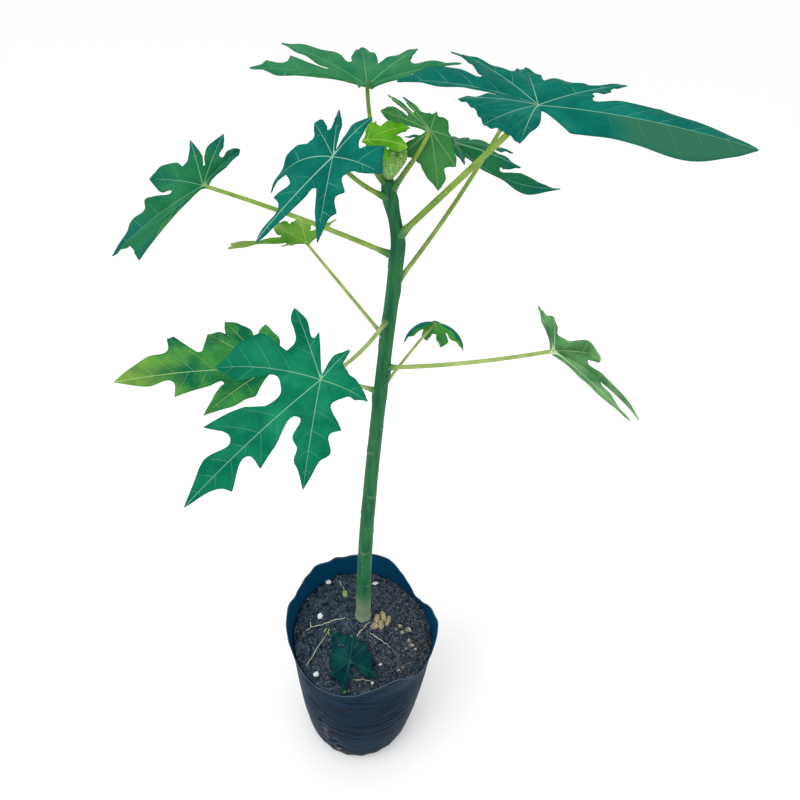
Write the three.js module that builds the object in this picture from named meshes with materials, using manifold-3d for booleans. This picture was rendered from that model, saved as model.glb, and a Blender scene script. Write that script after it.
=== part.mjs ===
// A papaya seedling in a black nursery bag: the bag, its soil, one stem, and for each of
// thirteen leaves a petiole (leaf stalk) and a lobed blade, with a crumpled bud on top.
// Millimetres, +Z up, the origin in the middle of the bag's flat underside.
import * as THREE from 'three';
import Module from 'manifold-3d';

const wasm = await Module();
wasm.setup();

// Clear space kept between two neighbouring pieces
const CLEAR = 0.3;

// The bag: a soft film tube, filled, with a flat foot and a wavy open rim. The profile gives
// [height, radius]; the rim's height is given every RIM_STEP degrees, turning left from +X.
const BAG_WALL = 1.2;
const BAG_SIDES = 48;
const BAG_PROFILE = [[0, 40], [4, 43.5], [14, 46], [44, 50], [74, 52.5], [124, 55.4], [150, 60]];
const BAG_OUTER_LEVELS = [0, 4, 14, 44, 74, 100, 124];
const BAG_INNER_LEVELS = [124, 74, 14, BAG_WALL];
const BAG_BULGE = 0.9;
const BAG_BULGES = 3;
const BAG_BULGE_TURN = 40;
const RIM_STEP = 20;
const RIM_HEIGHTS = [137, 134, 125, 137, 147, 144, 146, 148, 144,
  148, 140, 131, 128, 129, 142, 152, 133, 129];

// The soil fills the bag and rises to a low mound at the foot of the stem
const SOIL_LEVEL = 124;
const SOIL_EDGE_LEVEL = SOIL_LEVEL - 4;
const SOIL_LEVELS = [BAG_WALL + CLEAR, 14, 74, SOIL_EDGE_LEVEL];
const MOUND_HEIGHT = 11;
const MOUND_RADIUS = 34;
const FOOT_SEAT_RADIUS = 8;
const SOIL_RINGS = 6;
const SOIL_LUMP = 0.8;
const SOIL_LUMPS = 5;
const SOIL_LUMP_LENGTH = 5;

// The stem: a slightly S-shaped axis in the plane y = STEM_Y, given as [height over the foot, x],
// and its radius as [height, radius], with a flare at the foot
const STEM_Y = 8;
const FOOT_HEIGHT = SOIL_LEVEL + MOUND_HEIGHT + CLEAR;
const STEM_AXIS = [[0, -0.8], [44.5, -1.3], [101.5, -1], [149.5, 0.4], [191.5, 2.1], [242.5, 4.6],
  [290.5, 7.4], [306.5, 8.2], [318.5, 6.7], [329.5, 3.8], [336.5, 2.2], [342.5, 2]];
const STEM_TOP = 339.5;
const STEM_RADII = [[0, 6.6], [1.5, 6.1], [12.5, 5.8], [56.5, 5.3], [116.5, 4.7], [186.5, 4.1],
  [256.5, 3.7], [306.5, 3.3], [326.5, 2.9], [339.5, 2.4]];
const STEM_SIDES = 14;
const STEM_ROWS = 24;
const STEM_ROW_SPREAD = 1.25;

// Petioles are round and taper towards the blade
const PETIOLE_SIDES = 7;
const PETIOLE_ROWS = 7;
const PETIOLE_TAPER = 0.72;

// Blades: the web between two lobes reaches a share of their length, and on the two free sides
// of a blade it fans out by an angle, right and left; the heel is the short piece behind the
// petiole's end, and the free sides keep an angle between them for it
const BLADE_THICKNESS = 1.5;
const HEEL = 3;
const HEEL_GAP = 30;
const SINUS = 0.36;
const SINUS_LIMIT = 1.4;
const FREE_SPREAD = [68, 68];
const LOBE_BEND = 15;
const EDGE_SLANT = 0.85;
const KEEP_OFF_NEIGHBOUR = 0.94;
const WIDEST_HALF = 60;
const KEEP_OFF_SINUS = 0.04;
const MIDRIB_STATIONS = [0.1, 0.22, 0.36, 0.5, 0.64, 0.8];

// Half outlines of a lobe, from its sinus to its tip: [along, across] as shares of its length
const SIDES = {
  plain: [[0.45, 0.17], [0.62, 0.15], [0.80, 0.08]],
  slim: [[0.45, 0.10], [0.65, 0.08], [0.85, 0.035]],
  thin: [[0.45, 0.055], [0.70, 0.045], [0.88, 0.02]],
  broad: [[0.42, 0.24], [0.62, 0.26], [0.82, 0.14]],
  arch: [[0.42, 0.26], [0.60, 0.33], [0.76, 0.25], [0.90, 0.10]],
  blunt: [[0.45, 0.27], [0.78, 0.33], [0.95, 0.20]],
  strap: [[0.40, 0.11], [0.60, 0.10], [0.82, 0.10], [0.94, 0.05]],
  lance: [[0.36, 0.10], [0.55, 0.12], [0.66, 0.08], [0.90, 0.05]],
  tail: [[0.40, 0.24], [0.55, 0.17], [0.66, 0.05], [0.85, 0.03]],
  leaflet: [[0.30, 0.035], [0.52, 0.03], [0.64, 0.075], [0.76, 0.085], [0.90, 0.03]],
  band: [[0.45, 0.075], [0.88, 0.07], [0.985, 0.08], [0.95, 0.02]],
  round: [[0.45, 0.28], [0.75, 0.34], [0.94, 0.20]],
  crest: [[0.46, 0.40], [0.71, 0.22], [0.90, 0.107]],
  wide: [[0.24, 0.15], [0.36, 0.14], [0.50, 0.155], [0.66, 0.165], [0.80, 0.14], [0.92, 0.075]],
  waist: [[0.38, 0.06], [0.55, 0.09], [0.73, 0.14], [0.86, 0.07]],
  paddle: [[0.56, 0.14], [0.70, 0.11], [0.85, 0.105], [0.95, 0.05]],
  finger: [[0.30, 0.15], [0.576, 0.265], [0.51, 0.09], [0.77, 0.08], [0.90, 0.04]],
  hook: [[0.42, 0.10], [0.54, 0.12], [0.64, 0.14], [0.64, 0.05], [0.80, 0.055]],
  lash: [[0.42, 0.12], [0.60, 0.17], [0.62, 0.07], [0.82, 0.045], [0.93, 0.03]],
  whip: [[0.42, 0.07], [0.60, 0.06], [0.78, 0.04], [0.92, 0.025]],
  notched: [[0.45, 0.10], [0.68, 0.15], [0.70, 0.08], [0.88, 0.10], [0.91, 0.04]],
  spur: [[0.66, 0.33], [0.90, 0.42], [0.95, 0.17]],
  sawed: [[0.42, 0.24], [0.48, 0.14], [0.66, 0.19], [0.71, 0.10], [0.87, 0.05]],
  bold: [[0.34, 0.09], [0.41, 0.16], [0.64, 0.25], [0.58, 0.08], [0.76, 0.115], [0.89, 0.05]],
  bumpy: [[0.40, 0.17], [0.48, 0.20], [0.53, 0.12], [0.66, 0.135],
    [0.71, 0.125], [0.77, 0.075], [0.90, 0.03]],
  scalloped: [[0.50, 0.16], [0.57, 0.255], [0.638, 0.275], [0.656, 0.167], [0.778, 0.151], [0.895, 0.08]],
  toothed: [[0.44, 0.11], [0.57, 0.14], [0.57, 0.05], [0.76, 0.12], [0.79, 0.07]],
  outer: [[0.42, 0.26], [0.48, 0.16], [0.64, 0.20], [0.72, 0.12], [0.87, 0.06]],
  inner: [[0.56, 0.15], [0.64, 0.10], [0.76, 0.11], [0.82, 0.07]],
};

// The leaves, from the lowest up. height is the node's height over the foot of the stem; heading
// is counted from +X, turning left; rise is the slope over level; bow lifts the petiole's middle;
// fold lifts the edges of the lobes over their midribs, and spread fans out the two free sides. The
// lobes are in the order they turn left round the petiole, seen on the upper side: to is a lobe's
// heading, bend how far its midrib droops from root to tip, and sinus the share of its length that
// the web keeps on its left; free is that share on the first lobe's right. A lobe may have a fold of
// its own, and rightFold where its right half hangs differently.
const LEAVES = [
  { name: 'low_back', height: 221.5, heading: 50, length: 51.5, rise: 31.5, bow: 1, radius: 1.0,
    fold: -0.45,
    lobes: [
      { to: 338, rise: -34, reach: 23, bend: 110 },
      { to: 50, rise: -68, reach: 22, right: 'broad', left: 'slim', bend: 30, sinus: 0.5 },
      { to: 115, rise: -66, reach: 18, right: 'slim', left: 'broad', bend: 30 },
      { to: 206, rise: -27, reach: 21, bend: 120 },
    ] },
  { name: 'low_left', height: 220.5, heading: 197, length: 65, rise: 20.3, bow: 2, radius: 1.25,
    fold: 0.15,
    lobes: [
      { to: 103, rise: 33, reach: 26, right: 'broad', left: 'broad', sinus: 0.6 },
      { to: 148, rise: 30, reach: 34, right: 'broad', left: 'broad', sinus: 0.75 },
      { to: 170, rise: 25, reach: 35, right: 'broad', left: 'broad', sinus: 0.68 },
      { to: 207, rise: 7, reach: 73, right: 'scalloped', left: 'hook', sinus: 0.42 },
      { to: 221, rise: -21, reach: 40 },
    ] },
  { name: 'low_right', height: 237.5, heading: 340, length: 94.6, rise: 23.5, bow: -2, radius: 1.3,
    fold: 0.45, spread: [20, 20],
    lobes: [
      { to: 319, rise: -20, reach: 47, right: 'thin', left: 'thin', bend: 10, sinus: 0.48 },
      { to: 346, rise: -31, reach: 55, right: 'thin', left: 'thin', bend: 25, sinus: 0.5 },
      { to: 7, rise: -6, reach: 23, right: 'round', left: 'broad' },
      { to: 105, rise: 59, reach: 16, right: 'slim', left: 'slim', sinus: 0.85 },
      { to: 131, rise: 49, reach: 23, right: 'slim', left: 'slim' },
    ] },
  { name: 'back_left', height: 255.5, heading: 140, length: 71.7, rise: 27.4, bow: 0, radius: 1.1,
    fold: 0.15,
    lobes: [
      { to: 49, rise: 20, reach: 24, right: 'slim', left: 'slim' },
      { to: 110, rise: 17, reach: 20, right: 'broad', left: 'blunt', sinus: 0.8 },
      { to: 147, rise: 4, reach: 25, right: 'blunt', left: 'broad', sinus: 0.42 },
      { to: 186, rise: -6, reach: 43, right: 'band', left: 'band' },
      { to: 222, rise: 5, reach: 16, right: 'slim', left: 'slim' },
    ] },
  { name: 'front_left', height: 269.5, heading: 245, length: 63.7, rise: -1.3, bow: -5, radius: 1.2,
    fold: 0.12,
    lobes: [
      { to: 120, rise: 32, reach: 37, right: 'finger', left: 'paddle', bend: 20, sinus: 0.45 },
      { to: 172, rise: -4, reach: 50, right: 'arch', left: 'waist', bend: 30, sinus: 0.27 },
      { to: 222, rise: -29, reach: 79, right: 'bold', left: 'toothed', bend: 12, sinus: 0.3 },
      { to: 264, rise: -48, reach: 49, right: 'inner', left: 'outer' },
      { to: 350, rise: -18, reach: 23, right: 'inner', left: 'broad', bend: 25, sinus: 0.6 },
      { to: 40, rise: 34, reach: 19 },
    ] },
  { name: 'upper_right_back', height: 286.5, heading: 27, length: 105, rise: 56.7, bow: -3, radius: 1.25,
    fold: 0.12,
    lobes: [
      { to: 226, rise: -15, reach: 22 },
      { to: 318, rise: -3, reach: 32 },
      { to: 20, rise: 1, reach: 40 },
      { to: 84, rise: 8, reach: 30 },
      { to: 148, rise: 15, reach: 40, right: 'slim', left: 'slim' },
    ] },
  { name: 'upper_left', height: 302.5, heading: 170, length: 100.3, rise: 12.4, bow: 1.5, radius: 1.35,
    fold: 0.15, spread: [30, 30],
    lobes: [
      { to: 57, rise: 26, reach: 28, right: 'strap', left: 'strap', sinus: 0.6 },
      { to: 73, rise: 41, reach: 29 },
      { to: 121, rise: 48, reach: 23, sinus: 0.5 },
      { to: 164, rise: -4, reach: 31, right: 'crest', left: 'broad' },
      { to: 203, rise: -34, reach: 57, right: 'bumpy', left: 'broad', sinus: 0.85 },
      { to: 240, rise: -29, reach: 49 },
      { to: 257, rise: -10, reach: 30, right: 'slim', left: 'slim' },
    ] },
  { name: 'upper_right', height: 312.5, heading: 330, length: 87.8, rise: 49.4, bow: 0, radius: 1.6,
    fold: 0.12, free: 0.25, spread: [130, 60],
    lobes: [
      { to: 337, rise: -2, reach: 76, right: 'wide', left: 'lance', bend: 12, sinus: 0.4,
        fold: 0.05, rightFold: -0.3 },
      { to: 12, rise: 13, reach: 34, right: 'toothed', left: 'slim', sinus: 0.45 },
      { to: 98, rise: 18, reach: 27, sinus: 0.6 },
      { to: 133, rise: 14, reach: 43, right: 'slim', sinus: 0.5 },
      { to: 165, rise: 2, reach: 55, right: 'broad', left: 'slim', bend: 20 },
      { to: 195, rise: 3, reach: 31, right: 'slim', sinus: 0.92 },
      { to: 222, rise: -8, reach: 28, sinus: 0.95 },
      { to: 252, rise: -17, reach: 26.5, bend: 40 },
    ] },
  { name: 'top_back', height: 331.5, heading: 54.8, length: 50.6, rise: 18.2, bow: 8, radius: 1.1,
    fold: 0.15,
    lobes: [
      { to: 295, rise: -25, reach: 16, bend: 30 },
      { to: 352, rise: -16, reach: 58, right: 'leaflet', left: 'leaflet', bend: -50, sinus: 0.55 },
      { to: 3, rise: -16, reach: 37, left: 'slim', sinus: 0.55 },
      { to: 32, rise: -12, reach: 40 },
      { to: 80, rise: -12, reach: 36 },
      { to: 140, rise: -8, reach: 32 },
    ] },
  { name: 'top_left', height: 330.5, heading: 217, length: 36.8, rise: 36, bow: -2, radius: 1.2,
    fold: 0.1,
    lobes: [
      { to: 86, rise: 50, reach: 20, left: 'slim', sinus: 0.6 },
      { to: 136, rise: 41, reach: 16, right: 'blunt', left: 'broad', sinus: 0.5 },
      { to: 183, rise: -32, reach: 31, right: 'tail', left: 'tail', bend: 75, sinus: 0.5 },
      { to: 222, rise: -37, reach: 48, right: 'lash', left: 'whip', bend: 10 },
      { to: 261, rise: -51, reach: 36, right: 'slim', left: 'sawed', bend: 10 },
      { to: 333, rise: -5, reach: 24, left: 'spur', bend: 25, sinus: 0.55 },
      { to: 357, rise: 46, reach: 23 },
    ] },
  { name: 'top_right', height: 333.5, heading: 355, length: 32.3, rise: 59.6, bow: -1, radius: 1.2,
    fold: 0.1, spread: [30, 30],
    lobes: [
      { to: 164, rise: 12, reach: 23.4, right: 'broad', left: 'broad', bend: 10, sinus: 0.5 },
      { to: 166, rise: 30, reach: 22.6, right: 'thin', left: 'thin', bend: 10, sinus: 0.5 },
      { to: 167, rise: 41, reach: 17.6, right: 'thin', left: 'slim', bend: 10, sinus: 0.6 },
      { to: 322, rise: 74, reach: 8, right: 'broad', left: 'broad', bend: 10, sinus: 0.95 },
      { to: 343, rise: -8, reach: 9.5, right: 'broad', left: 'broad', bend: 10, sinus: 0.9 },
      { to: 349, rise: -47, reach: 18.2, right: 'broad', left: 'broad', bend: 5, sinus: 0.75 },
      { to: 8, rise: -77, reach: 26, right: 'broad', left: 'broad', bend: 5, sinus: 0.7 },
      { to: 157, rise: -45, reach: 18.7, right: 'broad', left: 'broad', bend: 5 },
    ] },
  { name: 'crown', height: 332.5, heading: 140, length: 44.6, rise: 68.8, bow: -3, radius: 1.15,
    fold: 0.1,
    lobes: [
      { to: 26, rise: 11, reach: 45, right: 'slim', left: 'slim', sinus: 0.6 },
      { to: 49, rise: 22, reach: 33, sinus: 0.42 },
      { to: 100, rise: 15, reach: 37, sinus: 0.4 },
      { to: 149, rise: 12, reach: 49, left: 'slim' },
      { to: 180, rise: 4, reach: 50, right: 'notched', sinus: 0.7, fold: -0.3, rightFold: 0.25 },
      { to: 215, rise: 9, reach: 38, right: 'slim', left: 'slim' },
      { to: 268, rise: 9, reach: 28, right: 'slim', left: 'slim' },
    ] },
  { name: 'young', height: 336.5, heading: 215, length: 23.3, rise: 60.2, bow: -3, radius: 0.9,
    fold: 0.1,
    lobes: [
      { to: 325, rise: -25, reach: 13.5, right: 'broad', left: 'broad', bend: 30, sinus: 0.6 },
      { to: 340, rise: 0, reach: 18.5, right: 'broad', left: 'broad', bend: 30, sinus: 0.6 },
      { to: 8, rise: 18, reach: 18.5, right: 'broad', left: 'broad', bend: 30, sinus: 0.6 },
      { to: 60, rise: 45, reach: 9, right: 'broad', left: 'broad', bend: 30 },
    ] },
];

// The bud on the stem's tip: an upright crumpled tuft, widest above its middle, leaning forward and
// right; the profile gives [share of the height, radius]
const BUD_HEIGHT = 13;
const BUD_PROFILE = [[0, 1.8], [0.25, 3.6], [0.5, 4.8], [0.75, 5.2], [1, 3.6]];
const BUD_LEAN_X = 3;
const BUD_LEAN_Y = -3;
const BUD_ROWS = 6;
const BUD_SIDES = 24;
const BUD_RIDGES = 6;
const BUD_RIDGE_DEPTH = 0.16;
const BUD_TWIST = 60;
const BUD_RUFFLE = 1.2;

const radians = THREE.MathUtils.degToRad;
const X_AXIS = new THREE.Vector3(1, 0, 0);
const Y_AXIS = new THREE.Vector3(0, 1, 0);
const Z_AXIS = new THREE.Vector3(0, 0, 1);

// Reads a value off a short table of [place, value] rows, with straight lines between them
function along(table, place) {
  const next = table.findIndex((row) => row[0] >= place);
  if (next === 0) return table[0][1];
  if (next < 0) return table[table.length - 1][1];
  const [x0, y0] = table[next - 1];
  const [x1, y1] = table[next];
  return y0 + ((y1 - y0) * (place - x0)) / (x1 - x0);
}

// A way of length 1, by its heading round +Z from +X and its slope over level, in degrees
function direction(heading, rise) {
  const level = Math.cos(radians(rise));
  const turn = radians(heading);
  return new THREE.Vector3(level * Math.cos(turn), level * Math.sin(turn), Math.sin(radians(rise)));
}

// A closed surface through rings of points, with both ends capped by a fan
function loft(rings) {
  const sides = rings[0].length;
  const points = rings.flat();
  const faces = [];
  for (let row = 0; row + 1 < rings.length; row += 1) {
    for (let side = 0; side < sides; side += 1) {
      const a = row * sides + side;
      const b = row * sides + ((side + 1) % sides);
      faces.push([a, b, b + sides], [a, b + sides, a + sides]);
    }
  }
  const sum = (circle) => circle.reduce((total, point) => total.add(point), new THREE.Vector3());
  const foot = points.push(sum(rings[0]).divideScalar(sides)) - 1;
  const head = points.push(sum(rings[rings.length - 1]).divideScalar(sides)) - 1;
  const last = (rings.length - 1) * sides;
  for (let side = 0; side < sides; side += 1) {
    const next = (side + 1) % sides;
    faces.push([foot, next, side], [head, last + side, last + next]);
  }
  return { points, faces };
}

function ring(centre, across, up, radius, sides) {
  const points = [];
  for (let side = 0; side < sides; side += 1) {
    const angle = (2 * Math.PI * side) / sides;
    const out = across.clone().multiplyScalar(Math.cos(angle)).addScaledVector(up, Math.sin(angle));
    points.push(centre.clone().addScaledVector(out, radius));
  }
  return points;
}

function geometryOf({ points, faces }) {
  const positions = points.flatMap((point) => point.toArray());
  const geometry = new THREE.BufferGeometry();
  geometry.setAttribute('position', new THREE.Float32BufferAttribute(positions, 3));
  geometry.setIndex(faces.flat());
  geometry.computeVertexNormals();
  return geometry;
}

function solidOf({ points, faces }) {
  return new wasm.Manifold(new wasm.Mesh({
    numProp: 3,
    vertProperties: new Float32Array(points.flatMap((point) => point.toArray())),
    triVerts: new Uint32Array(faces.flat()),
  }));
}

// The largest piece that a cut leaves, as a geometry again
function largestPiece(solid) {
  const pieces = solid.decompose();
  pieces.sort((a, b) => b.volume() - a.volume());
  const mesh = pieces[0].getMesh();
  const geometry = new THREE.BufferGeometry();
  geometry.setAttribute('position', new THREE.BufferAttribute(new Float32Array(mesh.vertProperties), 3));
  geometry.setIndex(new THREE.BufferAttribute(new Uint32Array(mesh.triVerts), 1));
  return geometry;
}

const plant = new THREE.Group();

function addPart(name, geometry, colour, roughness) {
  const material = new THREE.MeshStandardMaterial({ color: colour, roughness, metalness: 0 });
  const mesh = new THREE.Mesh(geometry, material);
  mesh.name = name;
  plant.add(mesh);
}

// Bag and soil
const rimCurve = new THREE.CatmullRomCurve3(
  [...RIM_HEIGHTS, RIM_HEIGHTS[0]].map((height, i) => new THREE.Vector3(i * RIM_STEP, height, 0)),
);

function rimHeight(turn) {
  return rimCurve.getPoint(turn / 360).y;
}

function bagRadius(turn, height) {
  const bulge = BAG_BULGE * Math.cos(radians(BAG_BULGES * turn + BAG_BULGE_TURN));
  return along(BAG_PROFILE, height) + bulge * Math.min(height / SOIL_LEVEL, 1);
}

function bagRing(levelOf, inset) {
  const points = [];
  for (let side = 0; side < BAG_SIDES; side += 1) {
    const turn = (360 * side) / BAG_SIDES;
    const height = levelOf(turn);
    const out = direction(turn, 0).multiplyScalar(bagRadius(turn, height) - inset);
    points.push(out.addScaledVector(Z_AXIS, height));
  }
  return points;
}

// The wall goes up outside, over the rim and down inside to the floor
function bagShell() {
  const underRim = (level) => (turn) => Math.min(level, rimHeight(turn) - 1);
  const outer = BAG_OUTER_LEVELS.map((level) => bagRing(underRim(level), 0));
  const inner = BAG_INNER_LEVELS.map((level) => bagRing(underRim(level), BAG_WALL));
  return loft([...outer, bagRing(rimHeight, 0), bagRing(rimHeight, BAG_WALL), ...inner]);
}

function soilHeight(radius, turn) {
  const out = Math.max(0, radius - FOOT_SEAT_RADIUS);
  const mound = 0.5 + 0.5 * Math.cos(Math.PI * Math.min(1, out / MOUND_RADIUS));
  const lump = SOIL_LUMP * Math.sin(radians(SOIL_LUMPS * turn)) * Math.sin(radius / SOIL_LUMP_LENGTH);
  return SOIL_LEVEL - CLEAR + MOUND_HEIGHT * mound + lump * (1 - mound);
}

function soilFill() {
  const inset = BAG_WALL + CLEAR;
  const foot = new THREE.Vector3(STEM_AXIS[0][1], STEM_Y, 0);
  const rings = SOIL_LEVELS.map((level) => bagRing(() => level, inset));
  for (let step = 0; step <= SOIL_RINGS; step += 1) {
    const share = step / SOIL_RINGS;
    const circle = [];
    for (let side = 0; side < BAG_SIDES; side += 1) {
      const turn = (360 * side) / BAG_SIDES;
      const edge = bagRadius(turn, SOIL_EDGE_LEVEL) - inset;
      const radius = THREE.MathUtils.lerp(edge, FOOT_SEAT_RADIUS, share);
      const point = direction(turn, 0).multiplyScalar(radius).addScaledVector(foot, share);
      circle.push(point.setZ(soilHeight(radius, turn)));
    }
    rings.push(circle);
  }
  return loft(rings);
}

// Stem
const stemCurve = new THREE.CatmullRomCurve3(
  STEM_AXIS.map(([height, x]) => new THREE.Vector3(x, STEM_Y, FOOT_HEIGHT + height)),
);

// The axis point at a height over the foot, found by halving the curve
function stemPoint(height) {
  let low = 0;
  let high = 1;
  for (let step = 0; step < 30; step += 1) {
    const middle = (low + high) / 2;
    if (stemCurve.getPoint(middle).z < FOOT_HEIGHT + height) low = middle;
    else high = middle;
  }
  return stemCurve.getPoint(low);
}

function stemSolid(grow) {
  const rings = [];
  for (let row = 0; row <= STEM_ROWS; row += 1) {
    const height = STEM_TOP * (row / STEM_ROWS) ** STEM_ROW_SPREAD;
    const radius = along(STEM_RADII, height) + grow;
    rings.push(ring(stemPoint(height), X_AXIS, Y_AXIS, radius, STEM_SIDES));
  }
  return loft(rings);
}

// Leaves
// A lobe's midrib is an arc in an upright plane: rho is the way along it from the petiole
function lobeOf({ to, rise, reach, fold, rightFold = fold, bend = LOBE_BEND,
  right = 'plain', left = 'plain', sinus = SINUS }) {
  const arc = radians(bend);
  const length = (reach * (arc / 2)) / Math.sin(arc / 2);
  const start = radians(rise) + arc / 2;
  const flat = direction(to, 0);
  const midrib = (rho) => {
    const slope = start - (arc * rho) / length;
    const out = (length / arc) * (Math.sin(start) - Math.sin(slope));
    const up = (length / arc) * (Math.cos(slope) - Math.cos(start));
    return flat.clone().multiplyScalar(out).addScaledVector(Z_AXIS, up);
  };
  return { way: direction(to, rise), length, midrib, fold, rightFold, right, left, sinus };
}

// The angle from one way to another, turning left round an axis, up to a full turn
function angleRound(axis, from, to) {
  const start = from.clone().projectOnPlane(axis);
  const end = to.clone().projectOnPlane(axis);
  const angle = Math.atan2(start.clone().cross(end).dot(axis), start.dot(end));
  return (angle + 2 * Math.PI) % (2 * Math.PI);
}

// An imagined lobe beyond the outermost one, for its free side to curve towards
function turnedLobe(lobe, axis, angle) {
  const turn = new THREE.Quaternion().setFromAxisAngle(axis, angle);
  const midrib = (rho) => lobe.midrib(rho).applyQuaternion(turn);
  return { ...lobe, way: lobe.way.clone().applyQuaternion(turn), midrib, sinus: SINUS };
}

// A point of the fan between two lobes: share 0 lies on the first midrib, 1 on the second
function fanPoint(first, second, rho, share) {
  const from = first.midrib(rho);
  const to = second.midrib(rho);
  const reach = THREE.MathUtils.lerp(from.length(), to.length(), share);
  const angle = from.angleTo(to);
  return from.normalize().multiplyScalar(Math.sin((1 - share) * angle))
    .addScaledVector(to.normalize(), Math.sin(share * angle)).normalize().multiplyScalar(reach);
}

// Fills the strip between a midrib and an edge with triangles, stepping along whichever lags
function zip(rib, edge, turnsLeft) {
  const faces = [];
  let a = 0;
  let b = 0;
  while (a < rib.length - 1 || b < edge.length - 1) {
    const ribNext = a < rib.length - 1 ? rib[a + 1].at : Infinity;
    const edgeNext = b < edge.length - 1 ? edge[b + 1].at : Infinity;
    const corner = ribNext <= edgeNext ? rib[a + 1].index : edge[b + 1].index;
    const [from, to] = turnsLeft ? [edge[b].index, rib[a].index] : [rib[a].index, edge[b].index];
    if (new Set([from, to, corner]).size === 3) faces.push([from, to, corner]);
    if (ribNext <= edgeNext) a += 1;
    else b += 1;
  }
  return faces;
}

// The middle surface of a blade: its points round the petiole's end, how far the fold lifts each,
// its faces, and the loop of its outline
function bladeSheet(leaf, heel) {
  const lobes = leaf.lobes.map((lobe) => lobeOf({ fold: leaf.fold, ...lobe }));
  const last = lobes.length - 1;
  const axis = new THREE.Vector3();
  for (let i = 0; i < last; i += 1) axis.add(lobes[i].way.clone().cross(lobes[i + 1].way));
  axis.normalize();

  // The free sides fan out into the gap behind the petiole, and the heel points into what they leave
  const open = angleRound(axis, lobes[last].way, lobes[0].way);
  const [right, left] = (leaf.spread ?? FREE_SPREAD).map(radians);
  const room = Math.min(1, (open - radians(HEEL_GAP)) / ((right + left) / 2));
  const rightSpread = right * room;
  const leftSpread = left * room;
  const behind = (open + (leftSpread - rightSpread) / 2) / 2;
  const beforeFirst = turnedLobe(lobes[0], axis, -rightSpread);
  beforeFirst.sinus = leaf.free ?? SINUS;
  beforeFirst.fold = lobes[0].rightFold;
  const fan = [beforeFirst, ...lobes, turnedLobe(lobes[last], axis, leftSpread)];

  const points = [];
  const lifts = [];
  const faces = [];
  const place = (point, lift) => {
    lifts.push(lift);
    return points.push(point) - 1;
  };
  const root = place(new THREE.Vector3(), 0);
  const rear = lobes[last].way.clone().projectOnPlane(axis).normalize().applyAxisAngle(axis, behind);
  const heelIndex = place(rear.multiplyScalar(heel), 0);

  // The line from the petiole to a sinus is shared by the two lobes beside it
  const sinuses = fan.slice(1).map((second, i) => {
    const first = fan[i];
    const gap = first.way.angleTo(second.way);
    const shorter = Math.min(first.length, second.length);
    const depth = first.sinus * Math.min((first.length + second.length) / 2, SINUS_LIMIT * shorter);
    const fold = (first.fold + second.rightFold) / 2;
    const line = [depth / 2, depth].map((rho) => ({
      rho, index: place(fanPoint(first, second, rho, 0.5), fold * rho * Math.sin(gap / 2)),
    }));
    return { gap, depth, line, free: i === 0 || i === lobes.length };
  });

  const loop = [heelIndex];
  lobes.forEach((lobe, i) => {
    const stations = MIDRIB_STATIONS.map((at) => ({ at, index: place(lobe.midrib(at * lobe.length), 0) }));
    const tip = { at: 1, index: place(lobe.midrib(lobe.length), 0) };
    const rib = [{ at: 0, index: root }, ...stations, tip];
    const halves = [[lobe.right, sinuses[i], fan[i], false], [lobe.left, sinuses[i + 1], fan[i + 2], true]];
    const outlines = halves.map(([side, sinus, neighbour, turnsLeft]) => {
      const half = sinus.gap / 2;
      const web = sinus.line.map(({ rho, index }) => (
        { at: (rho * (Math.cos(half) - EDGE_SLANT * Math.sin(half))) / lobe.length, index }));
      const beyond = (sinus.depth * Math.cos(half)) / lobe.length + KEEP_OFF_SINUS;
      const rows = SIDES[side].filter(([a]) => a > beyond).map(([a, b]) => {
        const beside = a * lobe.length < neighbour.length ? half : sinus.gap;
        const widest = Math.tan(Math.min(beside, radians(WIDEST_HALF)));
        const across = Math.min(b, KEEP_OFF_NEIGHBOUR * a * widest);
        const rho = Math.hypot(a, across) * lobe.length;
        const share = Math.atan2(across, a) / sinus.gap;
        const lift = (turnsLeft ? lobe.fold : lobe.rightFold) * across * lobe.length;
        return { at: a - EDGE_SLANT * across, index: place(fanPoint(lobe, neighbour, rho, share), lift) };
      });
      const heelEdge = sinus.free ? [{ at: 0, index: heelIndex }] : [];
      faces.push(...zip(rib, [...heelEdge, ...web, ...rows, tip], turnsLeft));
      const outline = sinus.free ? [...web, ...rows] : rows;
      return outline.map(({ index }) => index);
    });
    loop.push(...outlines[0], tip.index, ...outlines[1].reverse());
    if (i < last) loop.push(sinuses[i + 1].line[1].index);
  });
  return { points, lifts, faces, loop };
}

function sheetNormals(points, faces) {
  const normals = points.map(() => new THREE.Vector3());
  faces.forEach(([a, b, c]) => {
    const normal = points[b].clone().sub(points[a]).cross(points[c].clone().sub(points[a]));
    [a, b, c].forEach((corner) => normals[corner].add(normal));
  });
  return normals.map((normal) => normal.normalize());
}

// A blade: its folded middle surface, thickened to both sides and closed along its outline
function bladeSolid(leaf, junction, thickness, heel) {
  const { points, lifts, faces, loop } = bladeSheet(leaf, heel);
  const flatNormals = sheetNormals(points, faces);
  points.forEach((point, i) => point.addScaledVector(flatNormals[i], lifts[i]));
  const normals = sheetNormals(points, faces);
  const skin = (offset) => points.map((point, i) => (
    point.clone().addScaledVector(normals[i], offset).add(junction)));
  const count = points.length;
  const closed = faces.flatMap(([a, b, c]) => [[a, b, c], [c + count, b + count, a + count]]);
  loop.forEach((a, i) => {
    const b = loop[(i + 1) % loop.length];
    closed.push([a, a + count, b + count], [a, b + count, b]);
  });
  return { points: [...skin(thickness / 2), ...skin(-thickness / 2)], faces: closed };
}

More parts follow.
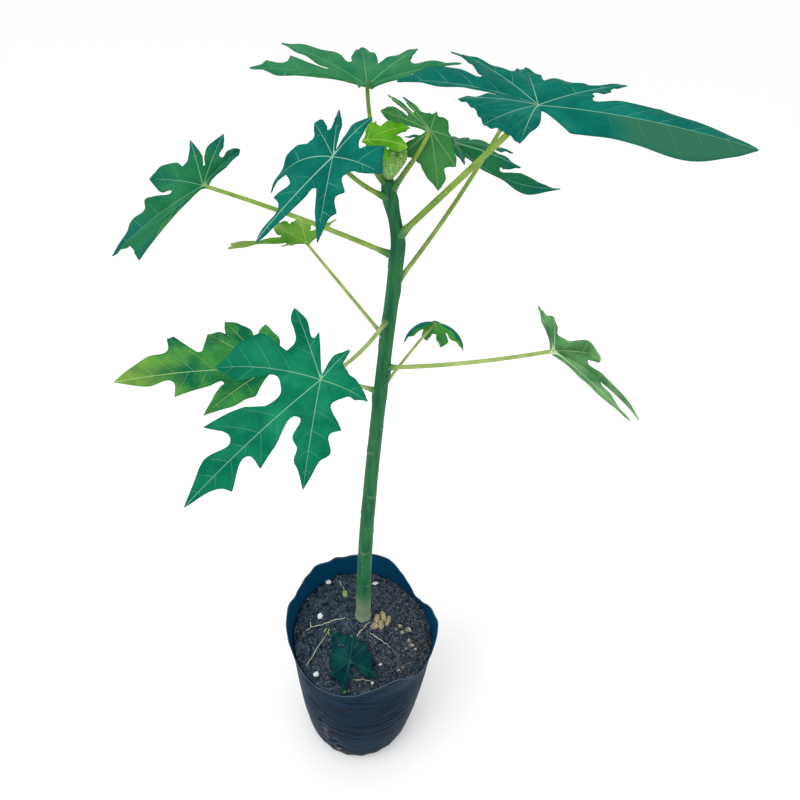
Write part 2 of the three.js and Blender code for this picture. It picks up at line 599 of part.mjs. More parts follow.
function petioleSolid(leaf, node, junction) {
  const chord = junction.clone().sub(node);
  const sideways = Z_AXIS.clone().cross(chord).normalize();
  const lift = chord.clone().cross(sideways).normalize();
  const rings = [];
  for (let row = 0; row <= PETIOLE_ROWS; row += 1) {
    const share = row / PETIOLE_ROWS;
    const centre = node.clone().addScaledVector(chord, share)
      .addScaledVector(lift, 4 * leaf.bow * share * (1 - share));
    const way = chord.clone().addScaledVector(lift, 4 * leaf.bow * (1 - 2 * share)).normalize();
    const radius = leaf.radius * THREE.MathUtils.lerp(1, PETIOLE_TAPER, share);
    rings.push(ring(centre, sideways, way.cross(sideways), radius, PETIOLE_SIDES));
  }
  return loft(rings);
}

// Bud
function budSolid() {
  const foot = stemPoint(STEM_TOP).addScaledVector(Z_AXIS, CLEAR);
  const lean = new THREE.Vector3(BUD_LEAN_X, BUD_LEAN_Y, BUD_HEIGHT);
  const rings = [];
  for (let row = 0; row <= BUD_ROWS; row += 1) {
    const share = row / BUD_ROWS;
    const centre = foot.clone().addScaledVector(lean, share);
    const circle = ring(centre, X_AXIS, Y_AXIS, along(BUD_PROFILE, share), BUD_SIDES);
    circle.forEach((point, side) => {
      const crease = Math.sin(radians((360 * BUD_RIDGES * side) / BUD_SIDES + BUD_TWIST * share)) * share;
      point.sub(centre).multiplyScalar(1 + BUD_RIDGE_DEPTH * crease).add(centre);
      point.z += BUD_RUFFLE * crease * share;
    });
    rings.push(circle);
  }
  return loft(rings);
}

addPart('bag', geometryOf(bagShell()), 0x24313a, 0.45);
addPart('soil', geometryOf(soilFill()), 0x3a2c2c, 0.95);
addPart('stem', geometryOf(stemSolid(0)), 0x3f7f4f, 0.5);

const stemCutter = solidOf(stemSolid(CLEAR));
LEAVES.forEach((leaf) => {
  const node = stemPoint(leaf.height);
  const junction = node.clone().addScaledVector(direction(leaf.heading, leaf.rise), leaf.length);
  const bladeCutter = solidOf(bladeSolid(leaf, junction, BLADE_THICKNESS + 2 * CLEAR, HEEL + CLEAR));
  const petiole = solidOf(petioleSolid(leaf, node, junction)).subtract(stemCutter).subtract(bladeCutter);
  addPart(`petiole_${leaf.name}`, largestPiece(petiole), 0x8fae54, 0.5);
  addPart(`leaf_${leaf.name}`, geometryOf(bladeSolid(leaf, junction, BLADE_THICKNESS, HEEL)), 0x157a5c, 0.45);
});
addPart('growing_tip', geometryOf(budSolid()), 0xa9c46a, 0.6);

export default plant;
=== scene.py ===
# %% [markdown]
# A papaya seedling in its nursery bag.
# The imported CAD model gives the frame: a bag, its soil, one stem, and thirteen leaves on long stalks.
# It could be shown as it is, with new colours, but real leaves are thin, veined and toothed.
# So each part is made again here by the same rule with many more points, and stands in its place.

# %% Load the frame
import copy
import math
from functools import partial

import bmesh
import bpy
import numpy as np
from mathutils import Matrix, Vector, noise


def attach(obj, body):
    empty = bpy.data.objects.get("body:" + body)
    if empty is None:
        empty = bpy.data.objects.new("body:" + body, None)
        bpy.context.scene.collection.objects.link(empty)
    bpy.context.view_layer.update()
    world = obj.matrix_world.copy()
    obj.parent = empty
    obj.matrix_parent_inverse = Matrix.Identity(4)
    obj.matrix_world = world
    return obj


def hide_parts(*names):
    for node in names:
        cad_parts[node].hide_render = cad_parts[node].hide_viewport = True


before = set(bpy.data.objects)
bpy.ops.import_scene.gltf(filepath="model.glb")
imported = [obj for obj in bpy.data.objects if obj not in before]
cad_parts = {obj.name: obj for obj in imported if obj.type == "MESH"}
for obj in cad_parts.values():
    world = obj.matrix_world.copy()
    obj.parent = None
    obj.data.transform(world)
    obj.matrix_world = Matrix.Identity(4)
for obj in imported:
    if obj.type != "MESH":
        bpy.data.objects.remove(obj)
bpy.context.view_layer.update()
MM = 0.001
print("solids in the frame:", len(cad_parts))

# %% [markdown]
# Helpers for the finishes.
# A colour is picked from a picture as an sRGB hex value, but a shader works with linear light.
# One function turns the first into the second. Another adds any kind of node and fills it, so that each
# finish below reads as a list of what it is made of. What most finishes share is a function too: two
# tones in patches, a further colour where a mask says so, and the links to the shader.

# %% Helpers for the finishes
def colour(code):
    """An sRGB hex value as linear red, green, blue and a full alpha."""
    shares = [int(code[i:i + 2], 16) / 255 for i in (1, 3, 5)]
    linear = [s / 12.92 if s <= 0.04045 else ((s + 0.055) / 1.055) ** 2.4 for s in shares]
    return (*linear, 1.0)


def fill(node, settings):
    """Fill properties and inputs of a node, each with a value, a socket or a node's first output."""
    for name, value in settings.items():
        if isinstance(name, str) and hasattr(node, name):
            setattr(node, name, value)
            continue
        if isinstance(value, bpy.types.Node):
            value = next(output for output in value.outputs if output.enabled)
        if isinstance(value, bpy.types.NodeSocket):
            node.id_data.links.new(value, node.inputs[name])
        else:
            node.inputs[name].default_value = value


def add_node(tree, kind, settings=None):
    """Add a node of any kind to a tree and fill it."""
    node = tree.nodes.new(kind)
    fill(node, settings or {})
    return node


def new_finish(name):
    """An empty material, its own add-node function, its shader and the object's own coordinates."""
    material = bpy.data.materials.new(name)
    material.use_nodes = True
    add = partial(add_node, material.node_tree)
    shader = material.node_tree.nodes["Principled BSDF"]
    return material, add, shader, add("ShaderNodeTexCoord").outputs["Object"]


def per_metre(size_mm):
    """The scale of a pattern whose cells are this many millimetres wide."""
    return 1 / (size_mm * MM)


def span(value, low, high, first=0, last=1, curve="LINEAR"):
    """Settings for a Map Range node that takes a value between low and high to first and last."""
    return {"interpolation_type": curve, "Value": value, "From Min": low, "From Max": high,
            "To Min": first, "To Max": last}


def two_tones(add, place, size_mm, detail, low, high, first, second, rough=0.5):
    """Noise with features of this size, and two tones mixed between a low and a high value of it."""
    field = add("ShaderNodeTexNoise", {"Scale": per_metre(size_mm), "Detail": detail, "Roughness": rough,
                                       "Vector": place})
    mask = add("ShaderNodeMapRange", span(field, low, high))
    return field, add("ShaderNodeMix", {"data_type": "RGBA", 0: mask, 6: colour(first), 7: colour(second)})


def tinted(add, base, code, mask, *limits):
    """A base with a colour mixed over it by a mask, which limits can stretch to another range."""
    if limits:
        mask = add("ShaderNodeMapRange", span(mask, *limits))
    return add("ShaderNodeMix", {"data_type": "RGBA", 0: mask, 6: base, 7: colour(code)})


def end_finish(shader, base, gloss, rough, relief, strength, depth_mm, **constants):
    """Link base colour, roughness between two values and bump to the shader, and set its constants."""
    add = partial(add_node, shader.id_data)
    roughness = add("ShaderNodeMapRange", span(gloss, 0, 1, *rough))
    bump = add("ShaderNodeBump", {"Strength": strength, "Distance": depth_mm * MM, "Height": relief})
    fill(shader, {"Base Color": base, "Roughness": roughness, "Normal": bump})
    fill(shader, {name.replace("_", " "): value for name, value in constants.items()})


print("a mid grey is", round(colour("#808080")[0], 3), "in linear light")

# %% [markdown]
# The camera.
# The photograph was taken from above and in front, with the camera tilted down and slightly turned.
# A tracking constraint could aim the camera, but it leaves out the turn about the line of sight.
# So the camera's three axes are worked out from the tilt and the turn, and set as its matrix.

# %% Camera
CAMERA_PLACE = Vector((15, -264, 560)) * MM
CAMERA_TILT = math.radians(37.5)
CAMERA_TURN = math.radians(4.5)
LENS_MM = 27
SENSOR_MM = 36
CLIP_START = 10 * MM

level = Vector((1, 0, 0))
ahead = Vector((0, math.cos(CAMERA_TILT), -math.sin(CAMERA_TILT)))
upward = Vector((0, math.sin(CAMERA_TILT), math.cos(CAMERA_TILT)))
camera_right = level * math.cos(CAMERA_TURN) + upward * math.sin(CAMERA_TURN)
camera_up = upward * math.cos(CAMERA_TURN) - level * math.sin(CAMERA_TURN)
camera_data = bpy.data.cameras.new("camera")
camera_data.lens = LENS_MM
camera_data.sensor_width = SENSOR_MM
camera_data.clip_start = CLIP_START
camera = bpy.data.objects.new("camera", camera_data)
axes = Matrix((camera_right, camera_up, -ahead)).transposed()
camera.matrix_world = Matrix.Translation(CAMERA_PLACE) @ axes.to_4x4()
bpy.context.collection.objects.link(camera)
bpy.context.scene.camera = camera
print("camera looks down by", round(math.degrees(CAMERA_TILT), 1), "degrees")

# %% [markdown]
# The rule of a papaya leaf.
# The blade is a fan of lobes round the end of its stalk. Each lobe has a midrib, which droops in an
# arc, and between two lobes the blade is cut back to a rounded bay. A leaf could be drawn as a flat
# picture on a card, but then it would have no form from the side. Here the same rule as in the solid
# gives every point of the blade, so the bays, the teeth and the droop are all in the mesh.

# %% Half outlines of a lobe
# Each row is along the midrib and across it, as shares of the lobe's length, from the bay to the tip.
# A third value marks the point of a tooth; elsewhere the edge is rounded.
SIDES = {
    "plain": [(0.45, 0.17), (0.62, 0.15), (0.80, 0.08)],
    "slim": [(0.45, 0.10), (0.65, 0.08), (0.85, 0.035)],
    "thin": [(0.45, 0.055), (0.70, 0.045), (0.88, 0.02)],
    "broad": [(0.42, 0.24), (0.62, 0.26), (0.82, 0.14)],
    "arch": [(0.42, 0.26), (0.60, 0.33), (0.76, 0.25), (0.90, 0.10)],
    "blunt": [(0.45, 0.27), (0.78, 0.33, 1), (0.95, 0.20)],
    "strap": [(0.40, 0.11), (0.60, 0.10), (0.82, 0.10), (0.94, 0.05)],
    "lance": [(0.36, 0.10), (0.55, 0.12, 1), (0.66, 0.08), (0.90, 0.05)],
    "tail": [(0.40, 0.24), (0.55, 0.17), (0.66, 0.05), (0.85, 0.03)],
    "leaflet": [(0.30, 0.035), (0.52, 0.03), (0.64, 0.075), (0.76, 0.085), (0.90, 0.03)],
    "band": [(0.45, 0.075), (0.88, 0.07), (0.985, 0.08, 1), (0.95, 0.02, 1)],
    "round": [(0.45, 0.28), (0.75, 0.34), (0.94, 0.20)],
    "crest": [(0.46, 0.40), (0.71, 0.22), (0.90, 0.107)],
    "wide": [(0.24, 0.15), (0.36, 0.14), (0.50, 0.155), (0.66, 0.165), (0.80, 0.14), (0.92, 0.075)],
    "waist": [(0.38, 0.06), (0.55, 0.09), (0.73, 0.14, 1), (0.86, 0.07)],
    "paddle": [(0.56, 0.14), (0.70, 0.11), (0.85, 0.105), (0.95, 0.05)],
    "finger": [(0.30, 0.15), (0.576, 0.265, 1), (0.51, 0.09), (0.77, 0.08), (0.90, 0.04)],
    "hook": [(0.42, 0.10), (0.54, 0.12), (0.64, 0.14, 1), (0.64, 0.05), (0.80, 0.055)],
    "lash": [(0.42, 0.12), (0.60, 0.17, 1), (0.62, 0.07), (0.82, 0.045), (0.93, 0.03)],
    "whip": [(0.42, 0.07), (0.60, 0.06), (0.78, 0.04), (0.92, 0.025)],
    "notched": [(0.45, 0.10), (0.68, 0.15, 1), (0.70, 0.08), (0.88, 0.10, 1), (0.91, 0.04)],
    "spur": [(0.66, 0.33), (0.90, 0.42, 1), (0.95, 0.17)],
    "sawed": [(0.42, 0.24, 1), (0.48, 0.14), (0.66, 0.19, 1), (0.71, 0.10), (0.87, 0.05)],
    "bold": [(0.34, 0.09), (0.41, 0.16), (0.64, 0.25, 1), (0.58, 0.08), (0.76, 0.115), (0.89, 0.05)],
    "bumpy": [(0.40, 0.17), (0.48, 0.20), (0.53, 0.12), (0.66, 0.135), (0.71, 0.125), (0.77, 0.075),
              (0.90, 0.03)],
    "scalloped": [(0.50, 0.16), (0.57, 0.255), (0.638, 0.275, 1), (0.656, 0.167), (0.778, 0.151),
                  (0.895, 0.08)],
    "toothed": [(0.44, 0.11), (0.57, 0.14, 1), (0.57, 0.05), (0.76, 0.12, 1), (0.79, 0.07)],
    "outer": [(0.42, 0.26, 1), (0.48, 0.16), (0.64, 0.20), (0.72, 0.12), (0.87, 0.06)],
    "inner": [(0.56, 0.15), (0.64, 0.10), (0.76, 0.11), (0.82, 0.07)],
}
PATH_STEPS = 18


def unit(way):
    """The same way with a length of 1."""
    return way / np.linalg.norm(way)


def smooth_step(start, end, leave, arrive, t):
    """The places at shares t of a smooth curve that leaves its start and meets its end at given slopes."""
    stay = start * (2 * t ** 3 - 3 * t ** 2 + 1) + end * (3 * t ** 2 - 2 * t ** 3)
    return stay + leave * (t ** 3 - 2 * t ** 2 + t) + arrive * (t ** 3 - t ** 2)


def smooth_path(points, sharp, first_way):
    """A path through points that turns smoothly, except where a point is sharp."""
    points = np.array(points, float)
    steps = np.diff(points, axis=0)
    chords = np.linalg.norm(steps, axis=1)
    ways = steps / chords[:, None]
    t = np.linspace(0, 1, PATH_STEPS + 1)[1:, None]
    path = [points[:1]]
    last = len(steps) - 1
    for i in range(last + 1):
        leave = ways[i]
        arrive = ways[i]
        if i == 0:
            leave = first_way
        elif not sharp[i]:
            leave = unit(ways[i - 1] + ways[i])
        if i < last and not sharp[i + 1]:
            arrive = unit(ways[i] + ways[i + 1])
        path.append(smooth_step(points[i], points[i + 1], leave * chords[i], arrive * chords[i], t))
    return np.concatenate(path)


print("half outlines:", len(SIDES))

# %% Lobes and the fan between them
LOBE_BEND = 15
SINUS = 0.36
SINUS_LIMIT = 1.4
FREE_SPREAD = (68, 68)
NEAR_ROOT = 0.001


def direction(heading, rise):
    """A way of length 1, by its heading from +X turning left and its slope over level, in degrees."""
    turn = math.radians(heading)
    slope = math.radians(rise)
    return np.array([math.cos(slope) * math.cos(turn), math.cos(slope) * math.sin(turn), math.sin(slope)])


class Lobe:
    """One lobe: its midrib is an arc in an upright plane, from the stalk's end to the tip."""

    def __init__(self, fold, to, rise, reach, bend=LOBE_BEND, right="plain", left="plain", sinus=SINUS,
                 right_fold=None):
        self.arc = math.radians(bend)
        self.length = reach * (self.arc / 2) / math.sin(self.arc / 2)
        self.start = math.radians(rise) + self.arc / 2
        self.flat = direction(to, 0)
        self.way = direction(to, rise)
        self.fold = fold
        self.right_fold = fold if right_fold is None else right_fold
        self.right = right
        self.left = left
        self.sinus = sinus
        self.turn = np.eye(3)

    def turned(self, axis, angle):
        """An imagined lobe beyond an outermost one, for its free side to curve towards."""
        other = copy.copy(self)
        other.turn = np.array(Matrix.Rotation(angle, 3, Vector(axis)))
        other.way = other.turn @ self.way
        other.sinus = SINUS
        return other

    def midrib(self, rho):
        """Points of the midrib at these distances along it."""
        slope = self.start - self.arc * rho / self.length
        bow = self.length / self.arc
        out = bow * (math.sin(self.start) - np.sin(slope))
        up = bow * (np.cos(slope) - math.cos(self.start))
        points = out[..., None] * self.flat + up[..., None] * np.array([0, 0, 1.0])
        return points @ self.turn.T


def fan_points(first, second, rho, share):
    """Points between two midribs: share 0 lies on the first one and share 1 on the second."""
    rho = np.maximum(rho, NEAR_ROOT)
    start = first.midrib(rho)
    end = second.midrib(rho)
    start_reach = np.linalg.norm(start, axis=-1, keepdims=True)
    end_reach = np.linalg.norm(end, axis=-1, keepdims=True)
    share = share[..., None]
    start = start / start_reach
    end = end / end_reach
    angle = np.arccos(np.clip((start * end).sum(-1, keepdims=True), -1, 1))
    way = start * np.sin((1 - share) * angle) + end * np.sin(share * angle)
    reach = start_reach + (end_reach - start_reach) * share
    return reach * way / np.linalg.norm(way, axis=-1, keepdims=True)


print("the two free sides of a blade fan out by", FREE_SPREAD, "degrees")

# %% [markdown]
# One half of a lobe as a grid.
# Real side veins leave the midrib at a slant and run forward to the edge, one into each tooth. If the
# rows of the grid run the same way, the veins, the swelling between them and the teeth all follow from
# the row number. So each row joins a station on the midrib to a point further along on the outline.

# %% The outline of a half lobe
EDGE_SLANT = 0.85
KEEP_OFF_NEIGHBOUR = 0.94
WIDEST = math.radians(60)
KEEP_OFF_SINUS = 0.04
FIRST_STATION = 0.02


class Half:
    """One half of a lobe, towards one neighbour: where its outline starts and how it runs."""

    def __init__(self, lobe, neighbour, on_left, depth_share, free):
        self.lobe = lobe
        self.neighbour = neighbour
        self.free = free
        self.gap = math.acos(np.clip(lobe.way @ neighbour.way, -1, 1))
        self.half = self.gap / 2
        shorter = min(lobe.length, neighbour.length)
        mean = (lobe.length + neighbour.length) / 2
        self.depth = depth_share * min(mean, SINUS_LIMIT * shorter)
        self.fold = lobe.fold if on_left else lobe.right_fold
        self.edge_fold = (self.fold + (neighbour.right_fold if on_left else neighbour.fold)) / 2
        beyond = self.depth * math.cos(self.half) / lobe.length
        controls = [(beyond, self.depth * math.sin(self.half) / lobe.length, False)]
        for a, b, *tooth in SIDES[lobe.left if on_left else lobe.right]:
            if a > beyond + KEEP_OFF_SINUS:
                beside = self.half if a * lobe.length < neighbour.length else self.gap
                limit = KEEP_OFF_NEIGHBOUR * math.tan(min(beside, WIDEST))
                controls.append((a, min(b, limit * a), bool(tooth)))
        controls.append((1, 0, True))
        ahead_of_bay = np.array([math.sin(self.half), -math.cos(self.half)])
        along_web = np.array([math.cos(self.half), math.sin(self.half)])
        way = along_web if free else ahead_of_bay
        sharp = [row[2] for row in controls]
        self.path = smooth_path([row[:2] for row in controls], sharp, way)
        slant = self.path[:, 0] - EDGE_SLANT * self.path[:, 1]
        self.order = np.maximum.accumulate(np.maximum(slant, FIRST_STATION))
        self.teeth = [i * PATH_STEPS for i, row in enumerate(controls[:-1]) if row[2]]

    def set_start(self, start):
        """Let the outline's rows start at this station, shared with the lobe's other half."""
        own = self.order[0]
        self.order = start + (self.order - own) * (1 - start) / (1 - own)


print("rows of a half lobe run forward by", EDGE_SLANT, "of their width")

# %% Rows of a lobe
OUTLINE_STARTS = (0.05, 0.3)
TOOTH_APART = 0.3
WEB_ROWS = 9
OUTLINE_ROWS = 44


def lobe_stations(halves):
    """Stations on a midrib for the rows of both halves, with one at each tooth."""
    start = np.clip(np.mean([half.order[0] for half in halves]), *OUTLINE_STARTS)
    for half in halves:
        half.set_start(start)
    teeth = [half.order[i] for half in halves for i in half.teeth]
    even = np.linspace(start, 1, OUTLINE_ROWS + 1)
    apart = TOOTH_APART / OUTLINE_ROWS
    kept = [s for s in even[1:-1] if all(abs(s - tooth) > apart for tooth in teeth)]
    outline = np.unique(np.round([start, *kept, *teeth, 1], 6))
    web = np.linspace(0, start, WEB_ROWS + 1)[:-1]
    return np.concatenate([web, outline])


print("rows in a half lobe:", WEB_ROWS + OUTLINE_ROWS)

# %% The grid of a half lobe
ACROSS = 7
ACROSS_SPREAD = 1.35
VEIN_STEP = 10.5
FEWEST_VEINS = 2.5
VEIN_SAG = 0.22
PUCKER = 0.30
PUCKER_FROM = 3
EDGE_WAVE = 0.5
WAVE_COUNT = 2.3
WAVE_CALM = 0.2
BAY_REACH = 0.15
TINY = 1e-9


def half_grid(half, stations, heel, phase):
    """The points of a half lobe, their lift over the fan, and two maps for its finish."""
    lobe = half.lobe
    start = stations[WEB_ROWS]
    web = np.linspace(0, half.depth, WEB_ROWS + 1)[:-1] / lobe.length
    outline = stations[WEB_ROWS:]
    edge_a = np.concatenate([web * math.cos(half.half), np.interp(outline, half.order, half.path[:, 0])])
    edge_b = np.concatenate([web * math.sin(half.half), np.interp(outline, half.order, half.path[:, 1])])
    v = (np.arange(ACROSS + 1) / ACROSS) ** ACROSS_SPREAD
    sag = VEIN_SAG * edge_b[:, None] * v * (1 - v)
    a = np.maximum(stations[:, None] + (edge_a - stations)[:, None] * v - sag, 0)
    b = edge_b[:, None] * v
    rho = np.hypot(a, b) * lobe.length
    share = np.arctan2(b, np.maximum(a, TINY)) / half.gap
    points = fan_points(lobe, half.neighbour, rho, share)
    points[0] = 0
    if half.free:
        behind = np.clip(1 - np.arange(len(stations)) / WEB_ROWS, 0, 1) ** 2
        points = points + behind[:, None, None] * v[:, None] * heel

    # Side veins lie at half counts, and a tooth takes one too, unless the tooth before it is too near
    pairs = max(FEWEST_VEINS, round(lobe.length / VEIN_STEP) + 0.5)
    knots = sorted(half.order[i] for i in half.teeth)
    counts = [0]
    for knot in knots:
        counts.append(max(math.floor(knot * pairs) + 0.5, counts[-1] + 1 - counts[-1] % 1 / 2))
    vein = np.interp(stations, [0, *knots, 1], [*counts, max(pairs, counts[-1] + 0.4)])
    vein = np.repeat(vein[:, None], ACROSS + 1, 1)
    from_rib = b * lobe.length
    along = np.repeat(stations[:, None], ACROSS + 1, 1)
    across = np.repeat(v[None, :], len(stations), 0)

    near_bay = np.clip(1 - (along - start) / BAY_REACH, 0, 1)
    fold = half.fold + (half.edge_fold - half.fold) * across * near_bay
    off_rib = np.clip(from_rib / PUCKER_FROM, 0, 1)
    swell = PUCKER * np.cos(np.pi * vein) ** 2 * np.sin(np.pi * across) * off_rib
    away = np.clip((along - start) / WAVE_CALM, 0, 1) * np.clip((1 - along) / WAVE_CALM, 0, 1)
    wave = EDGE_WAVE * away * np.sin(2 * np.pi * (WAVE_COUNT * along + phase)) * across ** 2
    lift = fold * from_rib + swell + wave
    return points, lift, np.stack([vein, from_rib], -1), np.stack([along, across], -1)


print("columns in a half lobe:", ACROSS)

# %% [markdown]
# From half lobes to a closed blade.
# The halves share the points of their midribs and of the lines to the bays, so points at the same
# place are merged. The sheet is then lifted by its fold and its swelling, and given two skins with a
# rim between them. A Solidify modifier could do that, but here the lower skin also gets raised ribs,
# and each side its own finish.

# %% The middle sheet of a blade
HEEL = 2.5
HEEL_GAP = math.radians(30)
PHASE_STEPS = (0.37, 0.5, 0.01)
MERGE_DIGITS = 3


def angle_round(axis, start, end):
    """The angle from one way to another, turning left round an axis, up to a full turn."""
    start = start - axis * (start @ axis)
    end = end - axis * (end @ axis)
    return math.atan2(np.cross(start, end) @ axis, start @ end) % (2 * math.pi)


def blade_sheet(leaf):
    """The middle surface of a blade round its stalk's end, with its maps, merged into one sheet."""
    lobes = [Lobe(**{"fold": leaf["fold"], **lobe}) for lobe in leaf["lobes"]]
    last = len(lobes) - 1
    axis = unit(sum(np.cross(lobes[i].way, lobes[i + 1].way) for i in range(last)))

    # The free sides fan out into the gap behind the stalk, and the heel points into what they leave
    gap = angle_round(axis, lobes[last].way, lobes[0].way)
    spread = np.radians(leaf.get("spread", FREE_SPREAD))
    spread = spread * min(1, (gap - HEEL_GAP) / spread.mean())
    fan = [lobes[0].turned(axis, -spread[0]), *lobes, lobes[last].turned(axis, spread[1])]
    fan[0].sinus = leaf.get("free", SINUS)
    fan[0].fold = lobes[0].right_fold
    behind = (gap + (spread[1] - spread[0]) / 2) / 2
    rear = unit(lobes[last].way - axis * (lobes[last].way @ axis))
    heel = HEEL * np.array(Matrix.Rotation(behind, 3, Vector(axis))) @ rear
    points, lifts, quads, vein_map, blade_map = [], [], [], [], []
    count = 0
    for i, lobe in enumerate(lobes):
        right = Half(lobe, fan[i], False, fan[i].sinus, i == 0)
        left = Half(lobe, fan[i + 2], True, lobe.sinus, i == last)
        stations = lobe_stations([right, left])
        for side, half in enumerate([right, left]):
            phase = np.dot(PHASE_STEPS, [i, side, leaf["heading"]])
            grid, lift, veins, blade = half_grid(half, stations, heel, phase)
            rows, columns = lift.shape
            index = count + np.arange(rows * columns).reshape(rows, columns)
            quad = np.stack([index[:-1, :-1], index[1:, :-1], index[1:, 1:], index[:-1, 1:]], -1)
            quad = quad.reshape(-1, 4)
            quads.append(quad if side else quad[:, ::-1])
            points.append(grid.reshape(-1, 3))
            lifts.append(lift.ravel())
            vein_map.append(veins.reshape(-1, 2))
            blade_map.append(blade.reshape(-1, 2))
            count += rows * columns
    first_count = len(quads[0])
    points, quads, vein_map, blade_map = map(np.concatenate, (points, quads, vein_map, blade_map))
    rounded = np.round(points, MERGE_DIGITS)
    first, inverse = np.unique(rounded, axis=0, return_index=True, return_inverse=True)[1:]
    inverse = inverse.ravel()
    lift = np.bincount(inverse, np.concatenate(lifts)) / np.bincount(inverse)
    maps = [vein_map[quads], blade_map[quads]]
    return points[first], lift, inverse[quads], maps, vein_map[first, 1], blade_map[first, 0], first_count


print("points of a blade are merged where they agree to", MERGE_DIGITS, "digits of a millimetre")

# %% Two skins and a rim
SKIN = 0.28
RIB_RAISE = 0.5
RIB_WIDTH = 0.9
RIB_GROOVE = 0.16
RIB_TAPER = 0.8
FULL_REACH = 60
UPPER, LOWER, FIRST_HALF = range(3)


def sheet_normals(points, quads):
    """Normals at the points of a sheet, from the faces round each."""
    corner = points[quads]
    face = np.cross(corner[:, 2] - corner[:, 0], corner[:, 3] - corner[:, 1])
    normals = np.zeros_like(points)
    for i in range(4):
        np.add.at(normals, quads[:, i], face)
    return normals / np.maximum(np.linalg.norm(normals, axis=1, keepdims=True), TINY)


def closed_blade(leaf, junction):
    """Points, faces, maps and skin numbers of a whole blade with two skins and a rim."""
    points, lift, quads, maps, ribs, along, first_count = blade_sheet(leaf)
    points = points + sheet_normals(points, quads) * lift[:, None]
    normals = sheet_normals(points, quads)
    size = min(1, max(lobe["reach"] for lobe in leaf["lobes"]) / FULL_REACH)
    rib = np.exp(-(ribs / (RIB_WIDTH * size)) ** 2) * (1 - RIB_TAPER * along) * size
    upper = points + normals * (SKIN - RIB_GROOVE * rib)[:, None] + junction
    lower = points - normals * (SKIN + RIB_RAISE * rib)[:, None] + junction
    count = len(points)
    faces, corners, skins = [], [], []
    edges = {}
    for number, quad in enumerate(quads):
        keep = [i for i in range(4) if quad[i] != quad[i - 1]]
        if len(set(quad[keep])) < 3:
            continue
        face = [int(quad[i]) for i in keep]
        faces.append(face)
        corners.append([(number, i) for i in keep])
        skins.append(FIRST_HALF if number < first_count else UPPER)
        faces.append([i + count for i in reversed(face)])
        corners.append([(number, i) for i in reversed(keep)])
        skins.append(LOWER)
        for i, a in enumerate(face):
            b = face[(i + 1) % len(face)]
            key = (min(a, b), max(a, b))
            edges.setdefault(key, []).append((a, b, (number, keep[i]), (number, keep[(i + 1) % len(face)])))
    for found in edges.values():
        if len(found) == 1:
            a, b, corner_a, corner_b = found[0]
            faces.append([b, a, a + count, b + count])
            corners.append([corner_b, corner_a, corner_a, corner_b])
            skins.append(UPPER)
    return np.concatenate([upper, lower]), faces, corners, maps, skins


print("a blade is", 2 * SKIN, "mm thick between its ribs")

# %% Blade pieces
MAPS = ("veins", "blade")


def mesh_piece(name, points, faces, *finishes):
    """A mesh object with smooth shading, from points in millimetres and faces, with its finishes."""
    mesh = bpy.data.meshes.new(name)
    mesh.from_pydata((np.array(points) * MM).tolist(), [], faces)
    mesh.polygons.foreach_set("use_smooth", [True] * len(faces))
    for finish in finishes:
        mesh.materials.append(finish)
    piece = bpy.data.objects.new(name, mesh)
    bpy.context.collection.objects.link(piece)
    return piece


def add_blade(name, leaf, junction, *finishes):
    """A blade with the maps its finishes read: one above, one below, one above the first half lobe."""
    points, faces, corners, maps, skins = closed_blade(leaf, junction)
    piece = mesh_piece(name, points, faces, *finishes)
    order = np.array([corner for face in corners for corner in face])
    for map_name, values in zip(MAPS, maps):
        layer = piece.data.uv_layers.new(name=map_name)
        layer.data.foreach_set("uv", values[order[:, 0], order[:, 1]].ravel())
    piece.data.polygons.foreach_set("material_index", skins)
    piece.data.update()
    return piece


print("maps of a blade:", *MAPS)

# %% [markdown]
# Leaf finishes.
# A papaya leaf is satin and dark above, with pale veins that shine through, and paler and more matt
# below. One flat green would look like paper. The finish reads the blade's own maps: how many side
# veins have been passed, how far the midrib is, and how near the tip and the edge are. Patches, the
# net of small veins and the grain come from noise and cells with sizes in millimetres.

# %% Leaf finish
PATCH_MM = 12
NET_MM = 2.2
# The real grain is too fine to show from here, so it is drawn as coarse as it needs to show
GRAIN_MM = 0.7
GLOSS_SPREAD = 0.08
GRAIN_RELIEF = 0.35


